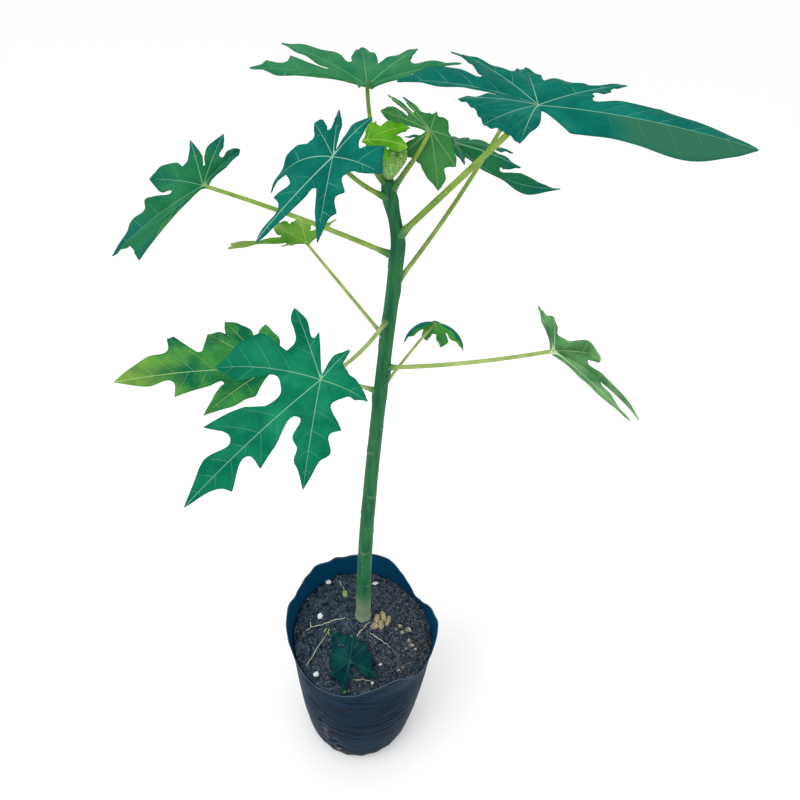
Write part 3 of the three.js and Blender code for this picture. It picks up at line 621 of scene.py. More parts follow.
def leaf_finish(name, deep, light, vein, far, far_share, rough, vein_share, far_from=1.0, far_to=1.5,
                far_x=None):
    """A leaf surface: two tones in patches, another towards the tips or one side, and pale veins."""
    material, add, shader, place = new_finish(name)
    veins, blade = [add("ShaderNodeSeparateXYZ", {0: add("ShaderNodeUVMap", {"uv_map": map_name})}).outputs
                    for map_name in MAPS]
    patches, tone = two_tones(add, place, PATCH_MM, 5.0, 0.36, 0.64, deep, light)
    outward = add("ShaderNodeMath", {"operation": "ADD", 0: blade[0], 1: patches})
    far_mask = add("ShaderNodeMapRange", span(outward, far_from, far_to, 0, far_share))
    if far_x:
        spot = add("ShaderNodeSeparateXYZ", {0: place})
        beyond = add("ShaderNodeMapRange", span(spot, far_x[0] * MM, far_x[1] * MM))
        far_mask = add("ShaderNodeMath", {"operation": "MULTIPLY", 0: far_mask, 1: beyond})
    toned = tinted(add, tone, far, far_mask)

    # The midrib narrows towards the tip; its half width is in millimetres
    width = add("ShaderNodeMapRange", span(blade[0], 0, 1, 0.24, 0.09))
    ratio = add("ShaderNodeMath", {"operation": "DIVIDE", 0: veins[1], 1: width})
    rib = add("ShaderNodeMapRange", span(ratio, 0.5, 1.2, 1, 0, "SMOOTHSTEP"))

    # A side vein lies at each half count, and fades towards the edge and towards the stalk
    part = add("ShaderNodeMath", {"operation": "FRACT", 0: veins[0]})
    off = add("ShaderNodeMath", {"operation": "SUBTRACT", 0: part, 1: 0.5})
    gap = add("ShaderNodeMath", {"operation": "ABSOLUTE", 0: off})
    line = add("ShaderNodeMapRange", span(gap, 0.006, 0.024, 1, 0, "SMOOTHSTEP"))
    fade = add("ShaderNodeMapRange", span(blade[1], 0.4, 1, 0.36, 0.05))
    starts = add("ShaderNodeMapRange", span(blade[0], 0.16, 0.34))
    strength = add("ShaderNodeMath", {"operation": "MULTIPLY", 0: fade, 1: starts})
    side = add("ShaderNodeMath", {"operation": "MULTIPLY", 0: line, 1: strength})

    # The net of small veins is the edges of small cells
    cells = add("ShaderNodeTexVoronoi", {"feature": "DISTANCE_TO_EDGE", "Scale": per_metre(NET_MM),
                                         "Vector": place})
    net = add("ShaderNodeMapRange", span(cells, 0, 0.12, 0.025, 0))
    large = add("ShaderNodeMath", {"operation": "MAXIMUM", 0: rib, 1: side})
    all_veins = add("ShaderNodeMath", {"operation": "MAXIMUM", 0: large, 1: net})
    shown = add("ShaderNodeMath", {"operation": "MULTIPLY", 0: all_veins, 1: vein_share})
    veined = tinted(add, toned, vein, shown)
    grain = add("ShaderNodeTexNoise", {"Scale": per_metre(GRAIN_MM), "Detail": 2.0, "Vector": place})
    relief = add("ShaderNodeMath", {"operation": "MULTIPLY_ADD", 0: grain, 1: GRAIN_RELIEF, 2: all_veins})
    gloss = (rough - GLOSS_SPREAD, rough + GLOSS_SPREAD)
    end_finish(shader, veined, grain, gloss, relief, 0.35, 0.4, IOR=1.42, Specular_IOR_Level=0.02)
    return material


print("patches on a leaf:", PATCH_MM, "mm wide")

# %% Leaf finishes by age and place
# Each row: name, deep and light tone, veins, tips, share of the tips' tone, roughness, share of the veins,
# and for some where the tips' tone begins and is full, and between which places across it comes in
LEAF_FINISHES = {
    "teal": leaf_finish("leaf_adult_above", "#015d51", "#0a6e5e", "#a3d3bc", "#03564a", 0.5, 0.45, 0.65),
    "front": leaf_finish("leaf_front_above", "#006248", "#157c58", "#93c6a6", "#005f46", 0.6, 0.45, 0.65),
    # The dull finish is painted light: a greyer green over the folded near half of one lobe, where it
    # catches the light
    "dull": leaf_finish("leaf_painted_light_above", "#015d51", "#0a6e5e", "#7fae94", "#2b664d", 1.0, 0.5, 0.3,
                        0.7, 1.0),
    "crown": leaf_finish("leaf_crown_above", "#1d6d47", "#367d4f", "#8cbb8c", "#277552", 0.5, 0.48, 0.6),
    "upper": leaf_finish("leaf_upper_above", "#176641", "#27744a", "#93c399", "#035a5a", 0.8, 0.48, 0.6,
                         1.0, 1.4),
    "turning": leaf_finish("leaf_turning_above", "#0a6540", "#3d8c42", "#b4d08e", "#88a83c", 0.8, 0.5,
                           0.85, 0.85, 1.35, (-72, -126)),
    "yellowing": leaf_finish("leaf_yellowing_above", "#457f2a", "#619535", "#b0c878", "#98b05e", 0.8, 0.5,
                             0.6),
    "young": leaf_finish("leaf_young_above", "#3f8a0e", "#63a52c", "#a9d06a", "#74b034", 0.6, 0.45, 0.6),
    "below": leaf_finish("leaf_adult_below", "#2f773c", "#448648", "#94be7d", "#3b7e43", 0.5, 0.6, 0.5),
    "grey_below": leaf_finish("leaf_grey_below", "#417747", "#6fa268", "#bcd6a8", "#6a985e", 0.5, 0.6,
                              0.95),
    "young_below": leaf_finish("leaf_young_below", "#2f7f3a", "#4d9a45", "#a9d084", "#3f8c40", 0.5, 0.55,
                               0.7),
}
print("leaf finishes:", len(LEAF_FINISHES))

# %% [markdown]
# The thirteen leaves.
# The table is the one the solids were made from, with the finishes added: how high on the stem a leaf
# grows, which way its stalk runs, and its lobes in the order they turn left round the stalk's end.
# Modelling each leaf by hand would give up that agreement with the solids, so the table is kept.

# %% The leaves from the lowest up
def lobe(to, rise, reach, right="plain", left="plain", **more):
    """One lobe of a leaf: where its tip lies, its two half outlines, and what else sets it apart."""
    return dict(to=to, rise=rise, reach=reach, right=right, left=left, **more)


LEAVES = [
    dict(name="low_back", height=221.5, heading=50, length=51.5, rise=31.5, bow=1, radius=1.0,
         fold=-0.45, above="teal", below="young_below", lobes=[
        lobe(338, -34, 23, bend=110),
        lobe(50, -68, 22, "broad", "slim", bend=30, sinus=0.5),
        lobe(115, -66, 18, "slim", "broad", bend=30),
        lobe(206, -27, 21, bend=120)]),
    dict(name="low_left", height=220.5, heading=197, length=65, rise=20.3, bow=2, radius=1.25,
         fold=0.15, above="turning", below="below", lobes=[
        lobe(103, 33, 26, "broad", "broad", sinus=0.6),
        lobe(148, 30, 34, "broad", "broad", sinus=0.75),
        lobe(170, 25, 35, "broad", "broad", sinus=0.68),
        lobe(207, 7, 73, "scalloped", "hook", sinus=0.42),
        lobe(221, -21, 40)]),
    dict(name="low_right", height=237.5, heading=340, length=94.6, rise=23.5, bow=-2, radius=1.3,
         fold=0.45, spread=(20, 20), above="grey_below", below="grey_below", lobes=[
        lobe(319, -20, 47, "thin", "thin", bend=10, sinus=0.48),
        lobe(346, -31, 55, "thin", "thin", bend=25, sinus=0.5),
        lobe(7, -6, 23, "round", "broad"),
        lobe(105, 59, 16, "slim", "slim", sinus=0.85),
        lobe(131, 49, 23, "slim", "slim")]),
    dict(name="back_left", height=255.5, heading=140, length=71.7, rise=27.4, bow=0, radius=1.1,
         fold=0.15, above="yellowing", below="young_below", lobes=[
        lobe(49, 20, 24, "slim", "slim"),
        lobe(110, 17, 20, "broad", "blunt", sinus=0.8),
        lobe(147, 4, 25, "blunt", "broad", sinus=0.42),
        lobe(186, -6, 43, "band", "band"),
        lobe(222, 5, 16, "slim", "slim")]),
    dict(name="front_left", height=269.5, heading=245, length=63.7, rise=-1.3, bow=-5, radius=1.2,
         fold=0.12, above="front", below="below", lobes=[
        lobe(120, 32, 37, "finger", "paddle", bend=20, sinus=0.45),
        lobe(172, -4, 50, "arch", "waist", bend=30, sinus=0.27),
        lobe(222, -29, 79, "bold", "toothed", bend=12, sinus=0.3),
        lobe(264, -48, 49, "inner", "outer"),
        lobe(350, -18, 23, "inner", "broad", bend=25, sinus=0.6),
        lobe(40, 34, 19)]),
    dict(name="upper_right_back", height=286.5, heading=27, length=105, rise=56.7, bow=-3, radius=1.25,
         fold=0.12, above="teal", below="below", lobes=[
        lobe(226, -15, 22),
        lobe(318, -3, 32),
        lobe(20, 1, 40),
        lobe(84, 8, 30),
        lobe(148, 15, 40, "slim", "slim")]),
    dict(name="upper_left", height=302.5, heading=170, length=100.3, rise=12.4, bow=1.5, radius=1.35,
         fold=0.15, spread=(30, 30), above="upper", below="below", lobes=[
        lobe(57, 26, 28, "strap", "strap", sinus=0.6),
        lobe(73, 41, 29),
        lobe(121, 48, 23, sinus=0.5),
        lobe(164, -4, 31, "crest", "broad"),
        lobe(203, -34, 57, "bumpy", "broad", sinus=0.85),
        lobe(240, -29, 49),
        lobe(257, -10, 30, "slim", "slim")]),
    # Its first half lobe folds down, and its dull finish is a greyer green painted for the light on that
    # fold
    dict(name="upper_right", height=312.5, heading=330, length=87.8, rise=49.4, bow=0, radius=1.6,
         fold=0.12, free=0.25, spread=(130, 60), above="teal", below="below", first_half="dull", lobes=[
        lobe(337, -2, 76, "wide", "lance", bend=12, sinus=0.4, fold=0.05, right_fold=-0.3),
        lobe(12, 13, 34, "toothed", "slim", sinus=0.45),
        lobe(98, 18, 27, sinus=0.6),
        lobe(133, 14, 43, "slim", sinus=0.5),
        lobe(165, 2, 55, "broad", "slim", bend=20),
        lobe(195, 3, 31, "slim", sinus=0.92),
        lobe(222, -8, 28, sinus=0.95),
        lobe(252, -17, 26.5, bend=40)]),
    dict(name="top_back", height=331.5, heading=54.8, length=50.6, rise=18.2, bow=8, radius=1.1,
         fold=0.15, above="upper", below="below", lobes=[
        lobe(295, -25, 16, bend=30),
        lobe(352, -16, 58, "leaflet", "leaflet", bend=-50, sinus=0.55),
        lobe(3, -16, 37, left="slim", sinus=0.55),
        lobe(32, -12, 40),
        lobe(80, -12, 36),
        lobe(140, -8, 32)]),
    dict(name="top_left", height=330.5, heading=217, length=36.8, rise=36, bow=-2, radius=1.2,
         fold=0.1, above="teal", below="below", lobes=[
        lobe(86, 50, 20, left="slim", sinus=0.6),
        lobe(136, 41, 16, "blunt", "broad", sinus=0.5),
        lobe(183, -32, 31, "tail", "tail", bend=75, sinus=0.5),
        lobe(222, -37, 48, "lash", "whip", bend=10),
        lobe(261, -51, 36, "slim", "sawed", bend=10),
        lobe(333, -5, 24, left="spur", bend=25, sinus=0.55),
        lobe(357, 46, 23)]),
    dict(name="top_right", height=333.5, heading=355, length=32.3, rise=59.6, bow=-1, radius=1.2,
         fold=0.1, spread=(30, 30), above="upper", below="below", lobes=[
        lobe(164, 12, 23.4, "broad", "broad", bend=10, sinus=0.5),
        lobe(166, 30, 22.6, "thin", "thin", bend=10, sinus=0.5),
        lobe(167, 41, 17.6, "thin", "slim", bend=10, sinus=0.6),
        lobe(322, 74, 8, "broad", "broad", bend=10, sinus=0.95),
        lobe(343, -8, 9.5, "broad", "broad", bend=10, sinus=0.9),
        lobe(349, -47, 18.2, "broad", "broad", bend=5, sinus=0.75),
        lobe(8, -77, 26, "broad", "broad", bend=5, sinus=0.7),
        lobe(157, -45, 18.7, "broad", "broad", bend=5)]),
    dict(name="crown", height=332.5, heading=140, length=44.6, rise=68.8, bow=-3, radius=1.15,
         fold=0.1, above="crown", below="below", lobes=[
        lobe(26, 11, 45, "slim", "slim", sinus=0.6),
        lobe(49, 22, 33, sinus=0.42),
        lobe(100, 15, 37, sinus=0.4),
        lobe(149, 12, 49, left="slim"),
        lobe(180, 4, 50, "notched", sinus=0.7, fold=-0.3, right_fold=0.25),
        lobe(215, 9, 38, "slim", "slim"),
        lobe(268, 9, 28, "slim", "slim")]),
    dict(name="young", height=336.5, heading=215, length=23.3, rise=60.2, bow=-3, radius=0.9,
         fold=0.1, above="young", below="young_below", lobes=[
        lobe(325, -25, 13.5, "broad", "broad", bend=30, sinus=0.6),
        lobe(340, 0, 18.5, "broad", "broad", bend=30, sinus=0.6),
        lobe(8, 18, 18.5, "broad", "broad", bend=30, sinus=0.6),
        lobe(60, 45, 9, "broad", "broad", bend=30)]),
]
print("leaves:", len(LEAVES))

# %% The stem's axis, which every stalk starts from
STEM_Y = 8
FOOT_HEIGHT = 135.3
STEM_TOP = 339.5
STEM_AXIS = [(0, -0.8), (44.5, -1.3), (101.5, -1), (149.5, 0.4), (191.5, 2.1), (242.5, 4.6), (290.5, 7.4),
             (306.5, 8.2), (318.5, 6.7), (329.5, 3.8), (336.5, 2.2), (342.5, 2)]
STEM_RADII = [(0, 6.6), (1.5, 6.1), (12.5, 5.8), (56.5, 5.3), (116.5, 4.7), (186.5, 4.1), (256.5, 3.7),
              (306.5, 3.3), (326.5, 2.9), (339.5, 2.4)]


def smooth_value(table, place):
    """A value off a table of places and values, on a smooth curve through its rows."""
    xs, ys = np.array(table, float).T
    slopes = np.gradient(ys, xs)
    i = np.clip(np.searchsorted(xs, place) - 1, 0, len(xs) - 2)
    width = xs[i + 1] - xs[i]
    t = np.clip((place - xs[i]) / width, 0, 1)
    return smooth_step(ys[i], ys[i + 1], width * slopes[i], width * slopes[i + 1], t)


def stem_point(height):
    """The point of the stem's axis at a height over its foot."""
    return np.array([float(smooth_value(STEM_AXIS, height)), STEM_Y, FOOT_HEIGHT + height])


def leaf_ends(leaf):
    """Where a leaf's stalk leaves the stem, and where it meets the blade."""
    node = stem_point(leaf["height"])
    return node, node + direction(leaf["heading"], leaf["rise"]) * leaf["length"]


print("the stem leans by", round(float(stem_point(306)[0] - stem_point(0)[0]), 1), "mm before its top")

# %% Make the blades
for leaf in LEAVES:
    node, junction = leaf_ends(leaf)
    name = "blade_" + leaf["name"]
    finishes = [LEAF_FINISHES[leaf[side]] for side in ("above", "below")]
    first_half = LEAF_FINISHES[leaf.get("first_half", leaf["above"])]
    piece = add_blade(name, leaf, junction, *finishes, first_half)
    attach(piece, "root")
    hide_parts("leaf_" + leaf["name"])
    print(name, len(piece.data.polygons), "faces")

# %% [markdown]
# Leaf stalks.
# A papaya's petiole is a smooth, pale green tube that swells where it leaves the stem. Each follows a
# bowed line from the stem to its blade. Geometry Nodes suit this: one tree sweeps a circle along any
# curve and sets the radius from the place along it, and its inputs fit it to each stalk.

# %% Helpers for Geometry Nodes
def new_tree(name, inputs):
    """An empty Geometry Nodes tree with these named inputs, its add-node function and what it is given."""
    tree = bpy.data.node_groups.new(name, "GeometryNodeTree")
    for in_out in ("INPUT", "OUTPUT"):
        tree.interface.new_socket("Geometry", in_out=in_out, socket_type="NodeSocketGeometry")
    for label, kind in inputs.items():
        tree.interface.new_socket(label, in_out="INPUT", socket_type="NodeSocket" + kind)
    add = partial(add_node, tree)
    return tree, add, add("NodeGroupInput").outputs


def end_tree(add, made, finish):
    """Make instances real, give them their finish, and hand the result out of the tree."""
    real = add("GeometryNodeRealizeInstances", {"Geometry": made})
    dressed = add("GeometryNodeSetMaterial", {"Geometry": real, "Material": finish})
    add("NodeGroupOutput", {0: dressed})


def made_with(tree, source, name, values):
    """A plain mesh piece from running a tree on a source object; the source and its modifier then go."""
    modifier = source.modifiers.new("make", "NODES")
    modifier.node_group = tree
    for item in tree.interface.items_tree:
        if item.in_out == "INPUT" and item.name in values:
            modifier[item.identifier] = values[item.name]
    source.update_tag()
    graph = bpy.context.evaluated_depsgraph_get()
    mesh = bpy.data.meshes.new_from_object(source.evaluated_get(graph))
    bpy.data.objects.remove(source)
    mesh.name = name
    piece = bpy.data.objects.new(name, mesh)
    bpy.context.collection.objects.link(piece)
    return piece


def curve_of(lines):
    """A curve object with one line of straight steps for each list of points, given in millimetres."""
    curve = bpy.data.curves.new("line", "CURVE")
    curve.dimensions = "3D"
    for points in lines:
        spline = curve.splines.new("POLY")
        spline.points.add(len(points) - 1)
        flat = [value for point in points for value in (*(np.array(point) * MM), 1)]
        spline.points.foreach_set("co", flat)
    source = bpy.data.objects.new("line", curve)
    bpy.context.collection.objects.link(source)
    return source


# %% A node tree for stalks
FLARE_REACH = 11 * MM
stalk_tree, add, given = new_tree("stalks", {"Radius": "Float", "Tip Share": "Float", "Flare": "Float",
                                             "Sides": "Int", "Finish": "Material"})
place = add("GeometryNodeSplineParameter").outputs
taper = add("ShaderNodeMapRange", span(place["Factor"], 0, 1, 1, given["Tip Share"]))
foot = add("ShaderNodeMapRange", span(place["Length"], 0, FLARE_REACH, given["Flare"], 1, "SMOOTHSTEP"))
share = add("ShaderNodeMath", {"operation": "MULTIPLY", 0: taper, 1: foot})
radius = add("ShaderNodeMath", {"operation": "MULTIPLY", 0: share, 1: given["Radius"]})
circle = add("GeometryNodeCurvePrimitiveCircle", {"Radius": 1.0, "Resolution": given["Sides"]})
noted = add("GeometryNodeStoreNamedAttribute", {"Name": "run", "Geometry": given["Geometry"],
                                                "Value": place["Length"]})
swept = add("GeometryNodeCurveToMesh", {"Fill Caps": True, "Curve": noted, "Profile Curve": circle,
                                        "Scale": radius})
end_tree(add, add("GeometryNodeSetShadeSmooth", {"Geometry": swept}), given["Finish"])
print("stalk tree:", len(stalk_tree.nodes), "nodes")

# %% Petiole skin: smooth, waxy, mottled, with pale pores, olive on young stalks and paler on old ones
MOTTLE_MM = 7
# Real pores are finer, and are drawn as coarse as they need to show
PORE_MM = 1.1
YOUNG_FROM = (390 * MM, 460 * MM)
AT_STEM = (4 * MM, 12 * MM)
petiole_skin, add, shader, place = new_finish("petiole_skin")
old_tone = two_tones(add, place, MOTTLE_MM, 4.0, 0.35, 0.65, "#86a050", "#a6b670")[1]
young_tone = two_tones(add, place, MOTTLE_MM, 4.0, 0.35, 0.65, "#65882c", "#84a346")[1]
height = add("ShaderNodeSeparateXYZ", {0: place}).outputs[2]
young = add("ShaderNodeMapRange", span(height, *YOUNG_FROM))
tone = add("ShaderNodeMix", {"data_type": "RGBA", 0: young, 6: old_tone, 7: young_tone})
pores = add("ShaderNodeTexNoise", {"Scale": per_metre(PORE_MM), "Detail": 2.0, "Vector": place})
pored = tinted(add, tone, "#b9cc8c", pores, 0.62, 0.72, 0, 0.4)
run = add("ShaderNodeAttribute", {"attribute_name": "run"}).outputs["Fac"]
joined = tinted(add, pored, "#2f7142", run, *AT_STEM, 0.9, 0, "SMOOTHSTEP")
end_finish(shader, joined, pores, (0.38, 0.55), pores, 0.2, 0.3, IOR=1.42, Specular_IOR_Level=0.25)
print("petiole finish:", len(petiole_skin.node_tree.nodes), "nodes")

# %% Make the stalks
STALK_POINTS = 28
STALK_TAPER = 0.72
STALK_FLARE = 1.8
STALK_SIDES = 16
for leaf in LEAVES:
    node, junction = leaf_ends(leaf)
    chord = junction - node
    sideways = unit(np.cross([0, 0, 1], chord))
    lifted = unit(np.cross(chord, sideways))
    line = []
    for share_along in np.linspace(0, 1, STALK_POINTS):
        bow = 4 * leaf["bow"] * share_along * (1 - share_along)
        line.append(node + chord * share_along + lifted * bow)
    values = {"Radius": leaf["radius"] * MM, "Tip Share": STALK_TAPER, "Flare": STALK_FLARE,
              "Sides": STALK_SIDES, "Finish": petiole_skin}
    piece = made_with(stalk_tree, curve_of([line]), "stalk_" + leaf["name"], values)
    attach(piece, "root")
    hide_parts("petiole_" + leaf["name"])
print("faces of each stalk:", len(piece.data.polygons))

# %% [markdown]
# The stem.
# A young papaya stem is a soft green column, not woody yet: smooth, with shallow ridges, a swelling
# under each leaf stalk and a pale crescent scar where an old leaf fell. A cylinder with a picture of
# bark would have a straight outline, so the scars and ridges are moved into the points of the mesh.

# %% Stem finish: green bark with pale pores and scars, greyer at the foot
STREAK_MM = 2.5
STREAK_STRETCH = (1, 1, 0.12)
STEM_PORE_MM = 4.2
PORE_STRETCH = (1, 1, 0.55)
GREY_FOOT = (148 * MM, 184 * MM)
GREY_WAVER = 18 * MM
stem_bark, add, shader, place = new_finish("stem_green_bark")
height = add("ShaderNodeSeparateXYZ", {0: place}).outputs[2]
stretched = add("ShaderNodeMapping", {"Scale": STREAK_STRETCH, "Vector": place})
streaks, bark = two_tones(add, stretched, STREAK_MM, 4.0, 0.35, 0.65, "#16543a", "#2d6e3f")
waver = add("ShaderNodeMath", {"operation": "MULTIPLY_ADD", 0: streaks, 1: GREY_WAVER, 2: height})
footed = tinted(add, bark, "#80917a", waver, *GREY_FOOT, 0.95, 0, "SMOOTHSTEP")
pore_place = add("ShaderNodeMapping", {"Scale": PORE_STRETCH, "Vector": place})
pore_cells = add("ShaderNodeTexVoronoi", {"Scale": per_metre(STEM_PORE_MM), "Vector": pore_place})
pore_dots = add("ShaderNodeMapRange", span(pore_cells, 0.07, 0.13, 0.3, 0))
scar = add("ShaderNodeAttribute", {"attribute_name": "scar"}).outputs["Fac"]
marks = add("ShaderNodeMath", {"operation": "MAXIMUM", 0: pore_dots, 1: scar})
marked = tinted(add, footed, "#a9bf93", marks)
relief = add("ShaderNodeMath", {"operation": "ADD", 0: streaks, 1: pore_dots})
end_finish(shader, marked, streaks, (0.4, 0.6), relief, 0.35, 0.4, IOR=1.42, Specular_IOR_Level=0.12)
print("stem finish:", len(stem_bark.node_tree.nodes), "nodes")

# %% Helpers for shapes made of rings
UP = np.array([0, 0, 1])
NOISE_DROP = 0.9
NOISE_STEP = 2.0


def ways_round(count):
    """Turns in degrees, evenly round a circle, and the level ways of length 1 that they point."""
    turns = np.arange(count) * 360 / count
    return turns, np.stack([np.cos(np.radians(turns)), np.sin(np.radians(turns)), 0 * turns], -1)


def turned_from(turns, heading):
    """How far turns lie from a heading, from -180 to 180 degrees."""
    return (turns - heading + 180) % 360 - 180


def upright_rings(ways, radii, heights):
    """Points at these radii and heights, out along level ways from the upright axis."""
    return np.asarray(radii)[..., None] * ways + np.asarray(heights)[..., None] * UP


def lofted(name, rings, finish):
    """A closed mesh through rings of points in millimetres, each ring turning left, from the foot up."""
    rings = np.array(rings)
    rows, sides = rings.shape[:2]
    index = np.arange(rows * sides).reshape(rows, sides)
    turned = np.roll(index, -1, axis=1)
    faces = np.stack([index[:-1], turned[:-1], turned[1:], index[1:]], -1).reshape(-1, 4).tolist()
    points = np.concatenate([rings.reshape(-1, 3), rings[:1].mean(1), rings[-1:].mean(1)])
    bottom = rows * sides
    for side in range(sides):
        following = (side + 1) % sides
        faces.append([bottom, following, side])
        faces.append([bottom + 1, index[-1, side], index[-1, following]])
    return mesh_piece(name, points, faces, finish)


def note_values(piece, label, values, ends=(0, 0)):
    """Store a value for each point of a lofted piece's rings, and for the middles of its two ends."""
    layer = piece.data.attributes.new(label, "FLOAT", "POINT")
    layer.data.foreach_set("value", np.append(np.ravel(values), ends))


def crumple(points, size, detail=1):
    """Smooth noise at each point, for features of this size in millimetres."""
    shares = np.asarray(points) / np.asarray(size)
    values = [noise.fractal(Vector(p), NOISE_DROP, NOISE_STEP, detail) for p in shares.reshape(-1, 3)]
    return np.array(values).reshape(shares.shape[:-1])


print("a ring of four points:", ways_round(4)[0].tolist(), "degrees")

# %% Stem mesh
STEM_SIDES = 48
STEM_ROWS = 260
STEM_BURIED = 5
NODE_SWELL = 0.8
NODE_LENGTH = 5
NODE_BELOW = 2
NODE_WIDTH = 45
SCAR_RAISE = 0.35
SCAR_TONE = 0.2
SCAR_FIRST = 24
SCAR_STEP = 19
SCAR_COUNT = 10
SCAR_HEADING = 200
SCAR_TURN = 137.5
SCAR_THICK = 0.9
SCAR_WIDTH = 55
SMILE_HEIGHT = 1.5
SMILE_WIDTH = 50
RIDGE_DEPTH = 0.10
RIDGES = 7
RIDGE_TWIST = 0.5
UNEVEN = 0.02
UNEVEN_MM = (5, 5, 12)

turns, ways = ways_round(STEM_SIDES)
rings = []
scar_values = []
for height_over in STEM_TOP * np.linspace(-STEM_BURIED / STEM_TOP, 1, STEM_ROWS):
    centre = stem_point(max(height_over, 0)) + [0, 0, min(height_over, 0)]
    ring_radius = np.full(STEM_SIDES, float(smooth_value(STEM_RADII, max(height_over, 0))))
    ring_scar = np.zeros(STEM_SIDES)
    for leaf in LEAVES:
        away = turned_from(turns, leaf["heading"])
        below = np.exp(-((height_over - leaf["height"] + NODE_BELOW) / NODE_LENGTH) ** 2)
        ring_radius += NODE_SWELL * below * np.exp(-(away / NODE_WIDTH) ** 2)
    for i in range(SCAR_COUNT):
        away = turned_from(turns, SCAR_HEADING + SCAR_TURN * i)
        smile = height_over - (SCAR_FIRST + SCAR_STEP * i) - SMILE_HEIGHT * (away / SMILE_WIDTH) ** 2
        mark = np.exp(-(smile / SCAR_THICK) ** 2) * np.exp(-(away / SCAR_WIDTH) ** 4)
        ring_radius += SCAR_RAISE * mark
        ring_scar = np.maximum(ring_scar, SCAR_TONE * mark)
    ring_radius += RIDGE_DEPTH * np.sin(np.radians(RIDGES * turns + RIDGE_TWIST * height_over))
    rings.append(centre + ways * ring_radius[:, None])
    scar_values.append(ring_scar)
rings = np.array(rings)
outward_ways = rings - rings.mean(1, keepdims=True)
rings = rings + outward_ways * (UNEVEN * crumple(rings, UNEVEN_MM))[..., None]
stem = lofted("stem_bark", rings, stem_bark)
note_values(stem, "scar", scar_values)
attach(stem, "root")
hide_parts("stem")
print("stem faces:", len(stem.data.polygons))

# %% [markdown]
# The bag.
# The nursery bag is black polythene film, filled with soil and slightly stretched. Its mouth stands up
# in soft waves, creases hang round its sides, one fold low on the left is scuffed, and its foot is drawn
# in with small pleats. A cloth simulation could find such folds, but a shell whose radius gets creases
# from stretched noise stays where the solid is, and gives the same folds every time.

# %% Bag film: thin black polythene, satin, bluer inside, with painted sheen along its creases and a painted highlight on its rim, scuffed pale in one fold near its foot
CLOUD_MM = 28
SWAG = 0.007
SWAG_MIDDLE = 8
CREASE_MM = 5
CREASE_STRETCH = (0.12, 0.12, 1)
CREASED_UP = (60 * MM, 115 * MM)
FLECK_MM = 6
SCUFFED_DOWN = (30 * MM, 60 * MM)
film, add, shader, place = new_finish("bag_black_polythene")
x, y, height = add("ShaderNodeSeparateXYZ", {0: place}).outputs
tone = two_tones(add, place, CLOUD_MM, 5.0, 0.35, 0.7, "#04192a", "#09263b")[1]

# The creases hang in wide swags that rise to both sides, and most of them are in the upper half
aside = add("ShaderNodeMath", {"operation": "SUBTRACT", 0: x, 1: SWAG_MIDDLE * MM})
squared = add("ShaderNodeMath", {"operation": "MULTIPLY", 0: aside, 1: aside})
hung = add("ShaderNodeMath", {"operation": "MULTIPLY_ADD", 0: squared, 1: -SWAG / MM, 2: height})
swags = add("ShaderNodeCombineXYZ", {0: x, 1: y, 2: hung})
stretched = add("ShaderNodeMapping", {"Scale": CREASE_STRETCH, "Vector": swags})
fine_creases = add("ShaderNodeTexNoise", {"Scale": per_metre(CREASE_MM), "Detail": 5.0, "Roughness": 0.65,
                                          "Vector": stretched})
upper_half = add("ShaderNodeMapRange", span(height, *CREASED_UP, 0.2, 1))
creases = add("ShaderNodeMath", {"operation": "MULTIPLY", 0: fine_creases, 1: upper_half})
# A paler blue is painted along the creases as their sheen
painted_sheen_streaks = tinted(add, tone, "#1c3a51", creases, 0.5, 0.72, 0, 0.6)

# The mesh tells what is inside, in the fold and on the rim, where a highlight is painted, and the inside is
# bluer
inside, fold, rim_highlight = [add("ShaderNodeAttribute", {"attribute_name": label}).outputs["Fac"]
                          for label in ("inside", "fold", "rim")]
two_sided = tinted(add, painted_sheen_streaks, "#053d5b", inside)

# Scuffs: pale worn flecks in the fold, most of them low down
low = add("ShaderNodeMapRange", span(height, *SCUFFED_DOWN, 1, 0.15))
flecks = add("ShaderNodeTexNoise", {"Scale": per_metre(FLECK_MM), "Detail": 6.0, "Roughness": 0.7,
                                    "Vector": place})
fleck_mask = add("ShaderNodeMapRange", span(flecks, 0.5, 0.62))
low_fold = add("ShaderNodeMath", {"operation": "MULTIPLY", 0: low, 1: fold})
scuffs = add("ShaderNodeMath", {"operation": "MULTIPLY", 0: low_fold, 1: fleck_mask})
scuffed = tinted(add, two_sided, "#8c877c", scuffs)

# A thin pale line is painted along the cut edge of the film as the highlight it catches
rim_highlighted = tinted(add, scuffed, "#51616e", rim_highlight)
end_finish(shader, rim_highlighted, fine_creases, (0.28, 0.55), creases, 0.5, 1.2, IOR=1.5, Specular_IOR_Level=0.012)
print("film finish:", len(film.node_tree.nodes), "nodes")

# %% The bag's plain form and its rim
SOIL_LEVEL = 124
BAG_PROFILE = [(0, 40), (4, 43.5), (14, 46), (44, 50), (74, 52.5), (124, 55.4), (150, 60)]
RIM_STEP = 20
RIM_HEIGHTS = [137, 134, 125, 137, 147, 144, 146, 148, 144, 148, 140, 131, 128, 129, 142, 152, 133, 129]
RIM_RIPPLE = 1.6
RIM_RIPPLE_MM = 9
BAG_SIDES = 240
BULGE = 0.9
BULGES = 3
BULGE_TURN = 40
bag_turns, bag_ways = ways_round(BAG_SIDES)
# The table runs on past a full turn at both ends, so that the rim closes smoothly
rim_table = [(RIM_STEP * i, RIM_HEIGHTS[i % len(RIM_HEIGHTS)]) for i in range(-2, len(RIM_HEIGHTS) + 3)]
ripple = crumple(bag_ways * BAG_PROFILE[-1][1], RIM_RIPPLE_MM)
rim = smooth_value(rim_table, bag_turns) + RIM_RIPPLE * ripple


